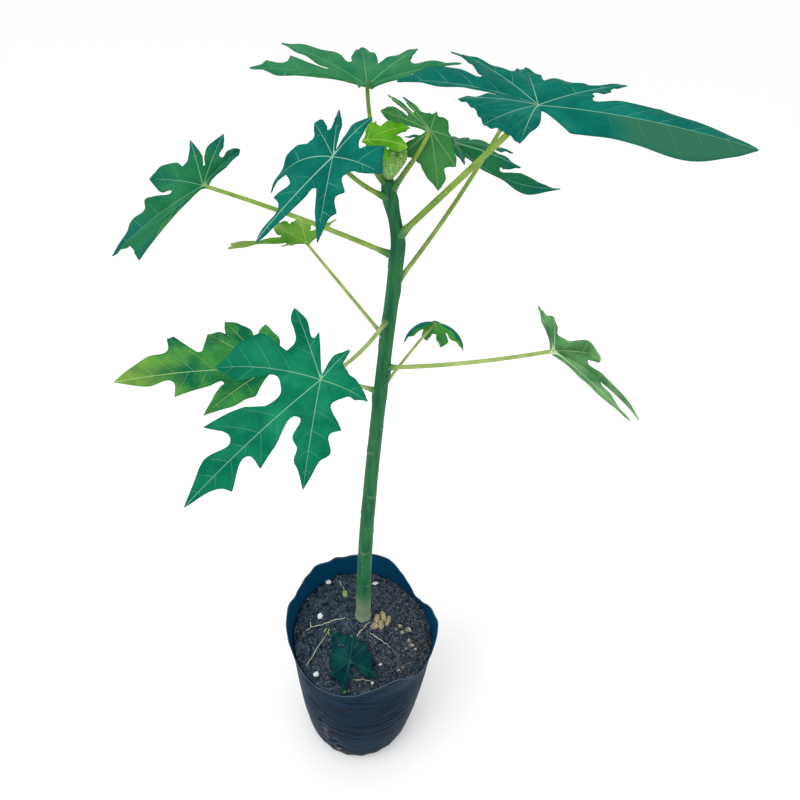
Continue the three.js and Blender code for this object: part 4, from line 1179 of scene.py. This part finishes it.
def bag_radius(turns_deg, heights_mm):
    """The film's outer radius before its creases, as in the solid."""
    bulge = BULGE * np.cos(np.radians(BULGES * turns_deg + BULGE_TURN))
    return np.interp(heights_mm, *zip(*BAG_PROFILE)) + bulge * np.minimum(heights_mm / SOIL_LEVEL, 1)


print("the rim stands", round(float(rim.min())), "to", round(float(rim.max())), "mm over the ground")

# %% Creases, one fold, gathers at the rim and pleats at the foot
BAG_INSET = 0.4
CREASE = 0.9
CREASE_SIZE = (34, 34, 5)
CREASED_SIZE = (30, 30, 24)
CREASED_HEIGHTS = (45, 110)
CREASED_LOW = 0.28
CREASED_MEAN = 0.5
CREASED_CONTRAST = 2
CREASED_LEAST = 0.1
CALM_FOOT = 12
GATHER = 1.1
GATHER_SIZE = (11, 11, 60)
GATHER_HEIGHTS = (105, 145)
FOLD = [(12, -104), (50, -118), (80, -125)]
FOLD_ENDS = [(6, 0), (14, 1), (70, 1), (90, 0)]
FOLD_WIDTH = 7
FOLD_DEPTH = 1.6
WORN_SIZE = (5, 5, 8)
WORN_MEAN = 0.3
PLEATS = 22
PLEAT_DEPTH = 0.35
PLEAT_HEIGHT = 3
PLEAT_REACH = 5
PLEAT_CALM = 2


def bag_fold(heights_mm):
    """How deep in the slanting fold each point of the film lies, from 0 to 1."""
    away = turned_from(bag_turns, np.interp(heights_mm, *zip(*FOLD)))
    return np.exp(-(away / FOLD_WIDTH) ** 2) * np.interp(heights_mm, *zip(*FOLD_ENDS))


def film_radius(heights_mm):
    """The film's outer radius at rows of heights, with creases, the fold, gathers at the rim and pleats."""
    base = bag_radius(bag_turns, heights_mm)
    spots = upright_rings(bag_ways, base, heights_mm)
    swag_spots = spots - SWAG * UP * (spots[..., :1] - SWAG_MIDDLE) ** 2
    where = CREASED_MEAN + CREASED_CONTRAST * crumple(spots, CREASED_SIZE)
    where = np.clip(where, CREASED_LEAST, 1) * np.interp(heights_mm, CREASED_HEIGHTS, [CREASED_LOW, 1])
    level_creases = np.clip(heights_mm / CALM_FOOT, 0, 1) * where * crumple(swag_spots, CREASE_SIZE, 3)
    gathers = np.interp(heights_mm, GATHER_HEIGHTS, [0, 1]) * crumple(spots, GATHER_SIZE)
    worn = bag_fold(heights_mm) * (WORN_MEAN + crumple(spots, WORN_SIZE, 2))
    pleats = np.cos(np.radians(PLEATS * bag_turns)) * np.clip(heights_mm / PLEAT_CALM, 0, 1)
    pleats = pleats * np.exp(-((heights_mm - PLEAT_HEIGHT) / PLEAT_REACH) ** 2)
    base = base - BAG_INSET + CREASE * level_creases + GATHER * gathers
    return base - FOLD_DEPTH * worn + PLEAT_DEPTH * pleats


print("pleats at the foot:", PLEATS)

# %% Bag mesh
BAG_ROWS = 96
ROW_CROWDING = 0.85
FILM = 0.5
FLOOR_RINGS = 5
FLOOR_MIDDLE = 0.05
INSIDE_FROM = 60
# How strong the painted highlight along the rim is
RIM_HIGHLIGHT = 0.8
outer_height = (np.linspace(0, 1, BAG_ROWS) ** ROW_CROWDING)[:, None] * rim
outer_radius = film_radius(outer_height)
underside = [upright_rings(bag_ways, share_out * outer_radius[0], 0)
             for share_out in np.linspace(FLOOR_MIDDLE, 1, FLOOR_RINGS + 1)[:-1]]
outer = upright_rings(bag_ways, outer_radius, outer_height)
inner = upright_rings(bag_ways, outer_radius - FILM, outer_height)[::-1]
inner = inner[inner[..., 2].min(1) > INSIDE_FROM]
inside_floor = inner[-1] * np.array([FLOOR_MIDDLE, FLOOR_MIDDLE, 1])
bag = lofted("bag_film", [*underside, *outer, *inner, inside_floor], film)

# What the finish reads: which rows are inside, which are the rim with its painted highlight, and where the
# fold is
inside_rows = [0] * (FLOOR_RINGS + BAG_ROWS) + [1] * (len(inner) + 1)
rim_highlight_rows = [0] * (FLOOR_RINGS + BAG_ROWS - 1) + [RIM_HIGHLIGHT] * 2 + [0] * len(inner)
fold_values = np.zeros((len(inside_rows), BAG_SIDES))
fold_values[FLOOR_RINGS:FLOOR_RINGS + BAG_ROWS] = bag_fold(outer_height)
note_values(bag, "inside", np.repeat(inside_rows, BAG_SIDES), (0, 1))
note_values(bag, "rim", np.repeat(rim_highlight_rows, BAG_SIDES))
note_values(bag, "fold", fold_values)
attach(bag, "root")
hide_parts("bag")
print("bag faces:", len(bag.data.polygons))

# %% [markdown]
# The soil.
# Potting soil is a dark crumbly mix with clods, white perlite grains, bits of husk and dry straw. A
# bumpy material on a flat disc shows no clods from the side. So the surface gets its clods in the
# mesh, and loose crumbs are scattered over it with Geometry Nodes, on the faces that look up.

# %% Soil finish: damp potting mix, dull, blue-black, browner on the right, with pale specks, and with painted shade in its darker clod patches
CLOD_MM = 5
SPECK_MM = 2.4
BROWN_FROM = (8 * MM, 34 * MM)
soil_mix, add, shader, place = new_finish("soil_potting_mix")
# The dark tone of the clod patches is partly the soil's own dark colour and partly painted shade between
# clods; it lies where the bump is low
clods, tone = two_tones(add, place, CLOD_MM, 7.0, 0.38, 0.66, "#011a30", "#505d69", 0.7)
across = add("ShaderNodeSeparateXYZ", {0: place})
browned = tinted(add, tone, "#303c47", across, *BROWN_FROM, 0, 0.5)
specks = add("ShaderNodeTexVoronoi", {"Scale": per_metre(SPECK_MM), "Vector": place})
speck_size = add("ShaderNodeMapRange", span(specks, 0.1, 0.22, 1, 0))
speck_pick = add("ShaderNodeSeparateColor", {0: specks.outputs["Color"]})
speck_some = add("ShaderNodeMath", {"operation": "GREATER_THAN", 0: speck_pick, 1: 0.62})
speck_mask = add("ShaderNodeMath", {"operation": "MULTIPLY", 0: speck_size, 1: speck_some})
specked = tinted(add, browned, "#8a8a86", speck_mask)
end_finish(shader, specked, clods, (0.75, 1.0), clods, 0.9, 3, Specular_IOR_Level=0.08)
print("soil finish:", len(soil_mix.node_tree.nodes), "nodes")

# %% Soil mesh
FOOT_SEAT_RADIUS = 8
MOUND_HEIGHT = 11
MOUND_RADIUS = 34
SOIL_SIDES = 200
SOIL_RINGS = 64
SOIL_INSET = 1.4
SOIL_SUNK = 0.4
SOIL_EDGE = 120
WALL_HEIGHTS = (1.5, 14, 44, 74, 105, 113)
INNERMOST = 3
CLOD = 2.6
CLOD_SIZE = 7
GRIT = 1.3
GRIT_SIZE = 2.6
CALM_FROM = 5
CALM_TO = 11
CALMEST = 0.15
SOIL_TILT = (-0.06, 0.02)
STEM_FOOT = np.array([STEM_AXIS[0][1], STEM_Y])


def mound(distance):
    """The height of the soil at a distance from the middle of the stem's foot, before its clods."""
    out = np.clip((distance - FOOT_SEAT_RADIUS) / MOUND_RADIUS, 0, 1)
    return SOIL_LEVEL + MOUND_HEIGHT * (0.5 + 0.5 * np.cos(np.pi * out))


def on_soil(spots, lift=0):
    """Points at level places on the soil, which has clods and is highest on the left, raised by a lift."""
    spots = np.asarray(spots, float)
    flat = np.concatenate([spots, 0 * spots[:, :1]], -1)
    distance = np.linalg.norm(spots - STEM_FOOT, axis=-1)
    calm = np.clip((distance - CALM_FROM) / (CALM_TO - CALM_FROM), CALMEST, 1)
    rough = CLOD * crumple(flat, CLOD_SIZE, 2) + GRIT * crumple(flat, GRIT_SIZE, 2)
    heights = mound(distance) + calm * rough - SOIL_SUNK + spots @ np.array(SOIL_TILT) + lift
    return np.concatenate([spots, heights[:, None]], -1)


soil_turns, soil_ways = ways_round(SOIL_SIDES)
soil_rings = [upright_rings(soil_ways, bag_radius(soil_turns, height) - SOIL_INSET, height)
              for height in WALL_HEIGHTS]
edge = (bag_radius(soil_turns, SOIL_EDGE) - SOIL_INSET)[:, None] * soil_ways[:, :2]
for share_in in np.linspace(0, 1, SOIL_RINGS):
    soil_rings.append(on_soil(edge * (1 - share_in) + (STEM_FOOT + INNERMOST * soil_ways[:, :2]) * share_in))
soil = lofted("soil_mix", soil_rings, soil_mix)
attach(soil, "root")
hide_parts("soil")
print("soil faces:", len(soil.data.polygons))

# %% [markdown]
# Loose crumbs.
# Thousands of crumbs lie on real soil. Each one here is a shape of only twenty faces, stretched and
# turned at random with a fixed seed, because from this far only its outline and its shadow count.

# %% A node tree that scatters crumbs
FACING_UP = 0.5
crumb_tree, add, given = new_tree("crumbs", {
    "Density": "Float", "Smallest": "Vector", "Largest": "Vector", "Seed": "Int", "Lowest": "Float",
    "None At X": "Float", "All At X": "Float", "Finish": "Material"})
upward = add("ShaderNodeSeparateXYZ", {0: add("GeometryNodeInputNormal")}).outputs[2]
x, y, height = add("ShaderNodeSeparateXYZ", {0: add("GeometryNodeInputPosition")}).outputs
facing_up = add("FunctionNodeCompare", {"operation": "GREATER_THAN", 0: upward, 1: FACING_UP})
high = add("FunctionNodeCompare", {"operation": "GREATER_THAN", 0: height, 1: given["Lowest"]})
on_top = add("FunctionNodeBooleanMath", {"operation": "AND", 0: facing_up, 1: high})
thick_at = add("ShaderNodeMapRange", span(x, given["None At X"], given["All At X"]))
thick = add("ShaderNodeMath", {"operation": "MULTIPLY", 0: thick_at, 1: given["Density"]})
spread = add("GeometryNodeDistributePointsOnFaces", {"Mesh": given["Geometry"], "Selection": on_top,
                                                     "Density": thick, "Seed": given["Seed"]})
crumb = add("GeometryNodeMeshIcoSphere", {"Radius": 1.0, "Subdivisions": 1})
turned_by = add("FunctionNodeRandomValue", {"data_type": "FLOAT_VECTOR", 1: (2 * math.pi,) * 3,
                                            "Seed": given["Seed"]})
sized_by = add("FunctionNodeRandomValue", {"data_type": "FLOAT_VECTOR", 0: given["Smallest"],
                                           1: given["Largest"], "Seed": given["Seed"]})
laid = add("GeometryNodeInstanceOnPoints", {"Points": spread, "Instance": crumb, "Rotation": turned_by,
                                            "Scale": sized_by})
end_tree(add, laid, given["Finish"])
print("crumb tree:", len(crumb_tree.nodes), "nodes")

# %% Crumb finishes and crumbs
GRIT_GLOSS_SPREAD = 0.1
LOWEST_CRUMB = 115


def grit_finish(name, dark, pale, grain_mm, rough):
    """A dull, grainy finish for small loose bits, in two tones."""
    material, add, shader, place = new_finish(name)
    grain, tone = two_tones(add, place, grain_mm, 4.0, 0.35, 0.65, dark, pale)
    gloss = (rough - GRIT_GLOSS_SPREAD, rough + GRIT_GLOSS_SPREAD)
    end_finish(shader, tone, grain, gloss, grain, 0.5, 0.5, Specular_IOR_Level=0.1)
    return material


dark_grit = grit_finish("soil_dark_crumbs", "#021c32", "#5f6973", 3, 0.85)
brown_grit = grit_finish("soil_brown_crumbs", "#1e2a36", "#827c78", 2, 0.85)
pale_grit = grit_finish("soil_pale_crumbs", "#7f7f7c", "#b9b6aa", 2, 0.8)

# Each row: name, finish, crumbs to a square metre, least and greatest radius, seed, and where across the
# soil there are none and where there are all, in millimetres
CRUMBS = [
    ("crumbs_dark", dark_grit, 210000, 0.25, 1.3, 3, -90, -70),
    ("crumbs_brown", brown_grit, 270000, 0.25, 0.85, 8, -14, 30),
    ("crumbs_pale", pale_grit, 24000, 0.2, 0.45, 21, -90, 30),
]
for name, finish, density, smallest, largest, seed, none_at, all_at in CRUMBS:
    source = bpy.data.objects.new("source", soil.data.copy())
    bpy.context.collection.objects.link(source)
    values = {"Density": density, "Smallest": (smallest * MM,) * 3, "Largest": (largest * MM,) * 3,
              "Seed": seed, "Lowest": LOWEST_CRUMB * MM, "None At X": none_at * MM, "All At X": all_at * MM,
              "Finish": finish}
    piece = made_with(crumb_tree, source, name, values)
    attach(piece, "root")
    print(name, len(piece.data.polygons), "faces")

# %% [markdown]
# What lies on the soil.
# Some things are large enough to be seen one by one: perlite grains, chips of husk beside the stem,
# gravel, bits of a green sprig, stalks of dry straw and one fallen leaf. Each is placed by its distance
# from the middle of the bag and takes its height from the soil under it, so it lies on the soil from
# any side.

# %% Perlite grains, husk chips, gravel and sprigs
LUMP_SWELL = 0.35
LUMP_SIZE = 0.8
LUMP_APART = 7.3
LUMP_SUNK = 0.5


def add_lumps(name, lumps, finish):
    """Rounded lumps in one mesh; each has a level place, three half sizes and a turn in degrees."""
    points, faces = [], []
    shape = bmesh.new()
    bmesh.ops.create_icosphere(shape, subdivisions=3, radius=1)
    shape.verts.index_update()
    base = np.array([vertex.co[:] for vertex in shape.verts])
    base_faces = [[vertex.index for vertex in face.verts] for face in shape.faces]
    shape.free()
    for number, (x, y, half_x, half_y, half_z, turn) in enumerate(lumps):
        swell = 1 + LUMP_SWELL * crumple(base + LUMP_APART * number, LUMP_SIZE, 2)
        local = base * swell[:, None] * [half_x, half_y, half_z]
        spin = np.array(Matrix.Rotation(math.radians(turn), 3, "Z"))
        start = len(points)
        points.extend(local @ spin.T + on_soil([[x, y]], LUMP_SUNK * half_z))
        faces.extend([[i + start for i in face] for face in base_faces])
    piece = mesh_piece(name, points, faces, finish)
    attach(piece, "root")
    return piece


perlite = grit_finish("perlite_grains", "#c9d3d6", "#f4f8f8", 1.5, 0.8)
husk = grit_finish("husk_chips", "#6f6a58", "#b3a684", 1.6, 0.75)
grains = add_lumps("perlite", [
    (-33, 41, 2.4, 1.8, 1.5, 20), (-35, 8, 2.7, 2.2, 1.9, 60), (-31, -38, 2.2, 1.8, 1.5, 10),
    (6, 46, 3.2, 1.4, 1.2, 15), (16, -25, 1.2, 1.0, 0.8, 0), (11, -40, 1.1, 0.9, 0.8, 50)], perlite)
chips = add_lumps("husk", [
    (11, 6, 4.6, 2.4, 2.6, 75), (15, 8, 5.0, 2.4, 2.8, 105), (9, 0, 3.6, 3.0, 2.0, 20),
    (14, 1, 4.4, 2.2, 2.4, 100), (19, 6, 4.6, 2.2, 2.4, 65)], husk)
gravel = add_lumps("gravel", [
    (29, 6.5, 2.2, 1.3, 1.2, 160), (31, 2.5, 1.9, 1.5, 1.2, 20), (36.5, 5, 2.8, 1.9, 1.5, 150),
    (37.5, -3.5, 2.1, 1.5, 1.2, 120), (39, -7, 2.2, 1.3, 1.1, 170), (26, 3, 1.3, 1.1, 0.9, 60),
    (42, -10, 1.3, 1.1, 0.9, 10), (35, -10, 1.2, 1.0, 0.9, 80), (30, -28, 1.5, 1.1, 0.9, 30),
    (33, -25, 1.2, 1.0, 0.8, 0)], grit_finish("gravel_brown", "#5a5853", "#aea797", 1.8, 0.8))
sprig = add_lumps("sprig", [
    (-17.3, 29, 3.2, 2.3, 0.7, 100), (-29, -3, 2.2, 0.7, 0.5, 60), (-26, -6, 2.6, 0.6, 0.5, 110),
    (-23, -9, 2.4, 0.6, 0.5, 140), (-9, -49, 1.8, 1.1, 0.6, 30), (-6, -47, 1.5, 0.7, 0.5, 70)],
    grit_finish("sprig_green", "#3d7a34", "#9db36a", 1.5, 0.6))
lumps = (grains, chips, gravel, sprig)
print("lump faces:", sum(len(piece.data.polygons) for piece in lumps))

# %% Straw and a thread of root
straw = grit_finish("straw_dry", "#b4b798", "#e2e3cc", 2.5, 0.6)
dark_fibre = grit_finish("root_fibre", "#12272e", "#2c4348", 2.5, 0.6)
LINE_POINTS = 16
LINE_LIFT = 0.7
LINE_TAPER = 0.6
LINE_SIDES = 8


def lying(spots, lift):
    """A line of points laid on the soil through these places, raised by a lift in its middle."""
    spots = np.array(spots, float)
    at = np.linspace(0, len(spots) - 1, LINE_POINTS)
    line = np.stack([np.interp(at, np.arange(len(spots)), spots[:, i]) for i in (0, 1)], -1)
    return on_soil(line, LINE_LIFT + lift * np.sin(np.pi * at / at[-1]))


STRAWS = [lying([(-41, -1), (-28, 1), (-14, 4)], 1.5), lying([(-39, -32), (-33, -18), (-26, -4)], 1.0),
          lying([(-4, -39), (3, -38), (11, -39)], 0.5), lying([(-4, -10), (5, 2)], 0.5),
          lying([(6, -6), (14, -9), (22, -12)], 0.8), lying([(-41, -1), (-42, 3)], 1.0),
          lying([(-41, -1), (-44, -4)], 1.0), lying([(-24, 43), (-18, 31)], 2.5)]
FIBRES = [lying([(16, -8), (23, 3), (28, 15), (36, 22)], 2.0), lying([(-12, 22), (-4, 30), (6, 33)], 1.0)]
for name, lines, thickness, finish in (("straw", STRAWS, 0.28, straw), ("fibre", FIBRES, 0.35, dark_fibre)):
    values = {"Radius": thickness * MM, "Tip Share": LINE_TAPER, "Flare": 1.0, "Sides": LINE_SIDES,
              "Finish": finish}
    piece = made_with(stalk_tree, curve_of(lines), name, values)
    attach(piece, "root")
    print(name, len(piece.data.polygons), "faces")

# %% Fallen leaf
FALLEN = dict(heading=280, fold=0.05, spread=(34, 34), lobes=[
    lobe(335, -2, 24, "broad", "broad", bend=10, sinus=0.8),
    lobe(45, 20, 19, "broad", "broad", bend=10, sinus=0.85),
    lobe(90, 23, 19, "broad", "broad", bend=10, sinus=0.85),
    lobe(128, 11, 27, "broad", "broad", bend=10, sinus=0.8),
    lobe(165, 2, 19, "broad", "broad", bend=10, sinus=0.85),
    lobe(222, -2, 18, "broad", "broad", bend=10, sinus=0.8),
    lobe(260, -2, 25, "toothed", "broad", bend=10)])
# The fallen leaf takes darker tones than the leaves on the plant
fallen_dark_finish = leaf_finish("leaf_fallen_dark", "#042a32", "#0e4744", "#4f8278", "#1b4430", 0.8, 0.45, 0.35)
FALLEN_PLACE = (-7, -26)
FALLEN_LIFT = 2.2
fallen = add_blade("fallen_leaf", FALLEN, on_soil([FALLEN_PLACE], FALLEN_LIFT), fallen_dark_finish, fallen_dark_finish, fallen_dark_finish)
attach(fallen, "root")
print("fallen leaf faces:", len(fallen.data.polygons))

# %% [markdown]
# The bud.
# At the very top the next leaves are still crumpled together into a pale tuft, widest above its middle.
# It is made as rings round a leaning axis. Their radius gets folds that twist upwards and a fine crinkle.

# %% Bud finish: soft crumpled leaf tissue, with painted light pale on the raised ridges and painted shade between them
CRINKLE_MM = 1.5
bud_tissue, add, shader, place = new_finish("bud_crumpled_leaf")
cells = add("ShaderNodeTexVoronoi", {"feature": "DISTANCE_TO_EDGE", "Scale": per_metre(CRINKLE_MM),
                                     "Vector": place})
ridge_painted_light = add("ShaderNodeMapRange", span(cells, 0, 0.22, 1, 0))
# Pale green is painted on the raised ridges as their light, and the darker green between them is painted
# shade
tone = add("ShaderNodeMix", {"data_type": "RGBA", 0: ridge_painted_light, 6: colour("#569632"), 7: colour("#a2cc74")})
end_finish(shader, tone, ridge_painted_light, (0.65, 0.5), ridge_painted_light, 0.7, 0.6)
print("bud finish:", len(bud_tissue.node_tree.nodes), "nodes")

# %% Bud mesh
BUD_LEAN = np.array([3, -3, 13.0])
BUD_PROFILE = [(0, 1.8), (0.25, 3.6), (0.5, 4.8), (0.75, 5.2), (1, 3.6)]
BUD_SIDES = 96
BUD_ROWS = 48
BUD_RIDGES = 6
BUD_RIDGE = 0.16
BUD_TWIST = 60
BUD_RUFFLE = 1.2
BUD_CRINKLE = 0.55
BUD_CRINKLE_SIZE = (2.2, 2.2, 2.8)
BUD_DIMPLE = 0.28
DIMPLE_RINGS = (0.85, 0.65, 0.4, 0.15)
bud_turns, bud_ways = ways_round(BUD_SIDES)
bud_foot = stem_point(STEM_TOP)
bud_rings = []
for share_up in np.linspace(0, 1, BUD_ROWS):
    crease = np.sin(np.radians(BUD_RIDGES * bud_turns + BUD_TWIST * share_up)) * share_up
    ring_radius = smooth_value(BUD_PROFILE, share_up) * (1 + BUD_RIDGE * crease)
    ring = bud_foot + BUD_LEAN * share_up + bud_ways * ring_radius[:, None]
    ring[:, 2] += BUD_RUFFLE * crease * share_up
    crinkle = BUD_CRINKLE * share_up * crumple(ring, BUD_CRINKLE_SIZE, 2)
    bud_rings.append(ring + bud_ways * crinkle[:, None])
for share_in in DIMPLE_RINGS:
    centre = bud_foot + BUD_LEAN * (1 - BUD_DIMPLE * (1 - share_in))
    bud_rings.append(centre + (bud_rings[BUD_ROWS - 1] - bud_foot - BUD_LEAN) * share_in)
bud = lofted("bud_tuft", bud_rings, bud_tissue)
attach(bud, "root")
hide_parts("growing_tip")
print("bud faces:", len(bud.data.polygons))

# %% [markdown]
# Floor and light.
# The plant stands on a plain pale floor in soft daylight from above and the left, as in a bright yard
# under an even sky. Large area lights and a pale world give soft shadows and broad, gentle gloss.

# %% Floor and light
FLOOR = 60000
floor_paint, add, shader, place = new_finish("floor_white_paint")
fill(shader, {"Base Color": colour("#ffffff"), "Roughness": 0.9})
corners = [(-FLOOR, -FLOOR, 0), (FLOOR, -FLOOR, 0), (FLOOR, FLOOR, 0), (-FLOOR, FLOOR, 0)]
floor = mesh_piece("floor", corners, [(0, 1, 2, 3)], floor_paint)

# Each light: name, place and size in metres, and power
LIGHTS = [("key", (-0.9, -0.7, 1.6), 1.2, 12.0), ("fill", (1.1, -0.9, 0.9), 1.2, 2.0)]
AIM = Vector((0, 0, 0.3))
for name, place_at, size, power in LIGHTS:
    light = bpy.data.lights.new(name, "AREA")
    light.size = size
    light.energy = power
    lamp = bpy.data.objects.new(name, light)
    lamp.location = place_at
    lamp.rotation_euler = (AIM - lamp.location).to_track_quat("-Z", "Y").to_euler()
    bpy.context.collection.objects.link(lamp)
world = bpy.data.worlds.new("sky")
world.use_nodes = True
fill(world.node_tree.nodes["Background"], {"Color": colour("#fefefe"), "Strength": 1.0})
bpy.context.scene.world = world
bpy.context.scene.view_settings.view_transform = "Standard"
print("lights:", len(LIGHTS))
